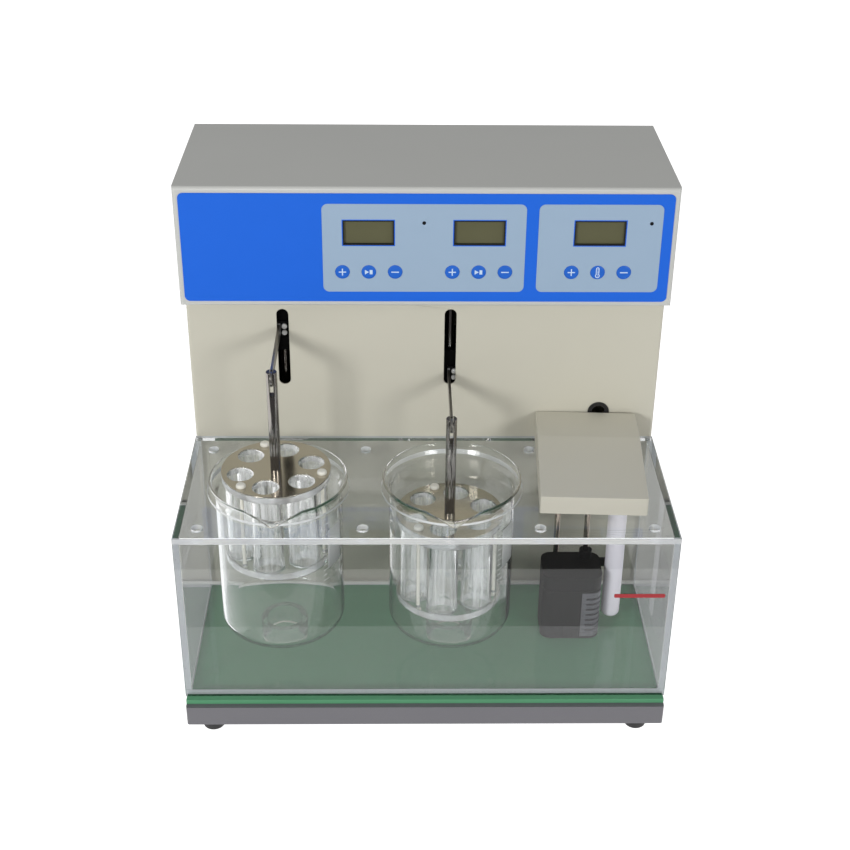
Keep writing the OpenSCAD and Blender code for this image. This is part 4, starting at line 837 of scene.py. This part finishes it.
# ---------- light
# An even pale room with a dimmer ceiling, and two square softboxes in front, the left one
# stronger. Metal mirrors the room dimmer than it lights, glass sees it bright, as it would
# against a white backdrop, and the camera sees it white.

# brightness at the horizon and overhead, as it lights and as it is mirrored
LIT_ROOM, MIRRORED_ROOM = (0.58, 0.34), (0.42, 0.24)
# brightness through up to five surfaces, and through more
THROUGH_FEW, THROUGH_MANY = 0.6, 0.95
world = bpy.data.worlds.new("studio")
bpy.context.scene.world = world
world.use_nodes = True
tree = world.node_tree
rays = add(tree, "ShaderNodeLightPath").outputs
z = add(tree, "ShaderNodeSeparateXYZ", {
    "Vector": add(tree, "ShaderNodeTexCoord").outputs["Generated"]}).outputs["Z"]
ceiling = add(tree, "ShaderNodeMapRange", {"Value": z, "To Min": LIT_ROOM[0],
                                           "To Max": LIT_ROOM[1]})
gloss = add(tree, "ShaderNodeMapRange", {"Value": z, "To Min": MIRRORED_ROOM[0],
                                         "To Max": MIRRORED_ROOM[1]})
deep = add(tree, "ShaderNodeMath", {0: rays["Transmission Depth"], 1: DEEP},
           operation="GREATER_THAN")
level = add(tree, "ShaderNodeMix", {"Factor": rays["Is Glossy Ray"],
                                    "A": ceiling.outputs["Result"], "B": gloss.outputs["Result"]})
bent = add(tree, "ShaderNodeMix", {"Factor": deep.outputs[0], "A": THROUGH_FEW,
                                   "B": THROUGH_MANY})
seen = add(tree, "ShaderNodeMath", {0: rays["Is Glossy Ray"], 1: deep.outputs[0]},
           operation="MULTIPLY")
seen = add(tree, "ShaderNodeMath", {0: seen.outputs[0], 1: rays["Is Transmission Ray"]},
           operation="MAXIMUM")
level = add(tree, "ShaderNodeMix", {"Factor": seen.outputs[0], "A": level.outputs[0],
                                    "B": bent.outputs[0]})
level = add(tree, "ShaderNodeMix", {"Factor": rays["Is Camera Ray"], "A": level.outputs[0],
                                    "B": 1.0})
background = tree.nodes["Background"]
background.inputs["Color"].default_value = (1, 1, 1, 1)
tree.links.new(level.outputs[0], background.inputs["Strength"])

BOX_DISTANCE, BOX_AIM = 2.2, Vector((0, -0.05, 0.25))


def softbox(name, azimuth, elevation, size, power):
    """Square softbox in a direction from the machine, in degrees to the right of the front
    and above the table, facing the machine."""
    a, e = math.radians(azimuth), math.radians(elevation)
    way = Vector((math.sin(a) * math.cos(e), -math.cos(a) * math.cos(e), math.sin(e)))
    light = bpy.data.lights.new(name, "AREA")
    light.shape = "SQUARE"
    light.size = size
    light.energy = power
    obj = bpy.data.objects.new(name, light)
    obj.location = BOX_AIM + way * BOX_DISTANCE
    obj.rotation_euler = way.to_track_quat("Z", "Y").to_euler()
    bpy.context.scene.collection.objects.link(obj)


softbox("softbox_left", azimuth=-36, elevation=18, size=0.46, power=18)
softbox("softbox_right", azimuth=32.5, elevation=15, size=0.5, power=10)

# ---------- camera
# Where the photograph was taken from: a little to the left of the middle, in front of the
# lid and above it, looking down by 30 degrees.

YAW, PITCH_DOWN, ROLL, LENS, SENSOR = 1.133, 29.85, 0.593, 61.78, 36
EYE_LEFT, EYE_BEFORE_LID, EYE_OVER_LID = 0.0215, 0.9448, 0.6452
low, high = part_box("tank_lid")
eye = Vector((-EYE_LEFT, low.y - EYE_BEFORE_LID, high.z + EYE_OVER_LID))
cam = bpy.data.cameras.new("camera")
cam.sensor_width, cam.lens, cam.clip_start, cam.clip_end = SENSOR, LENS, 0.05, 30
camera = bpy.data.objects.new("camera", cam)
bpy.context.scene.collection.objects.link(camera)
turn = Matrix.Rotation(math.radians(-YAW), 4, "Z")
tilt = Matrix.Rotation(math.radians(90 - PITCH_DOWN), 4, "X")
roll = Matrix.Rotation(math.radians(ROLL), 4, "Z")
camera.matrix_world = Matrix.Translation(eye) @ turn @ tilt @ roll
scene = bpy.context.scene
scene.camera = camera
scene.view_settings.view_transform = "Standard"
# a look through the bath, a beaker and its tubes can cross twenty surfaces
scene.cycles.max_bounces = 24
scene.cycles.transmission_bounces = 24
scene.cycles.transparent_max_bounces = 32
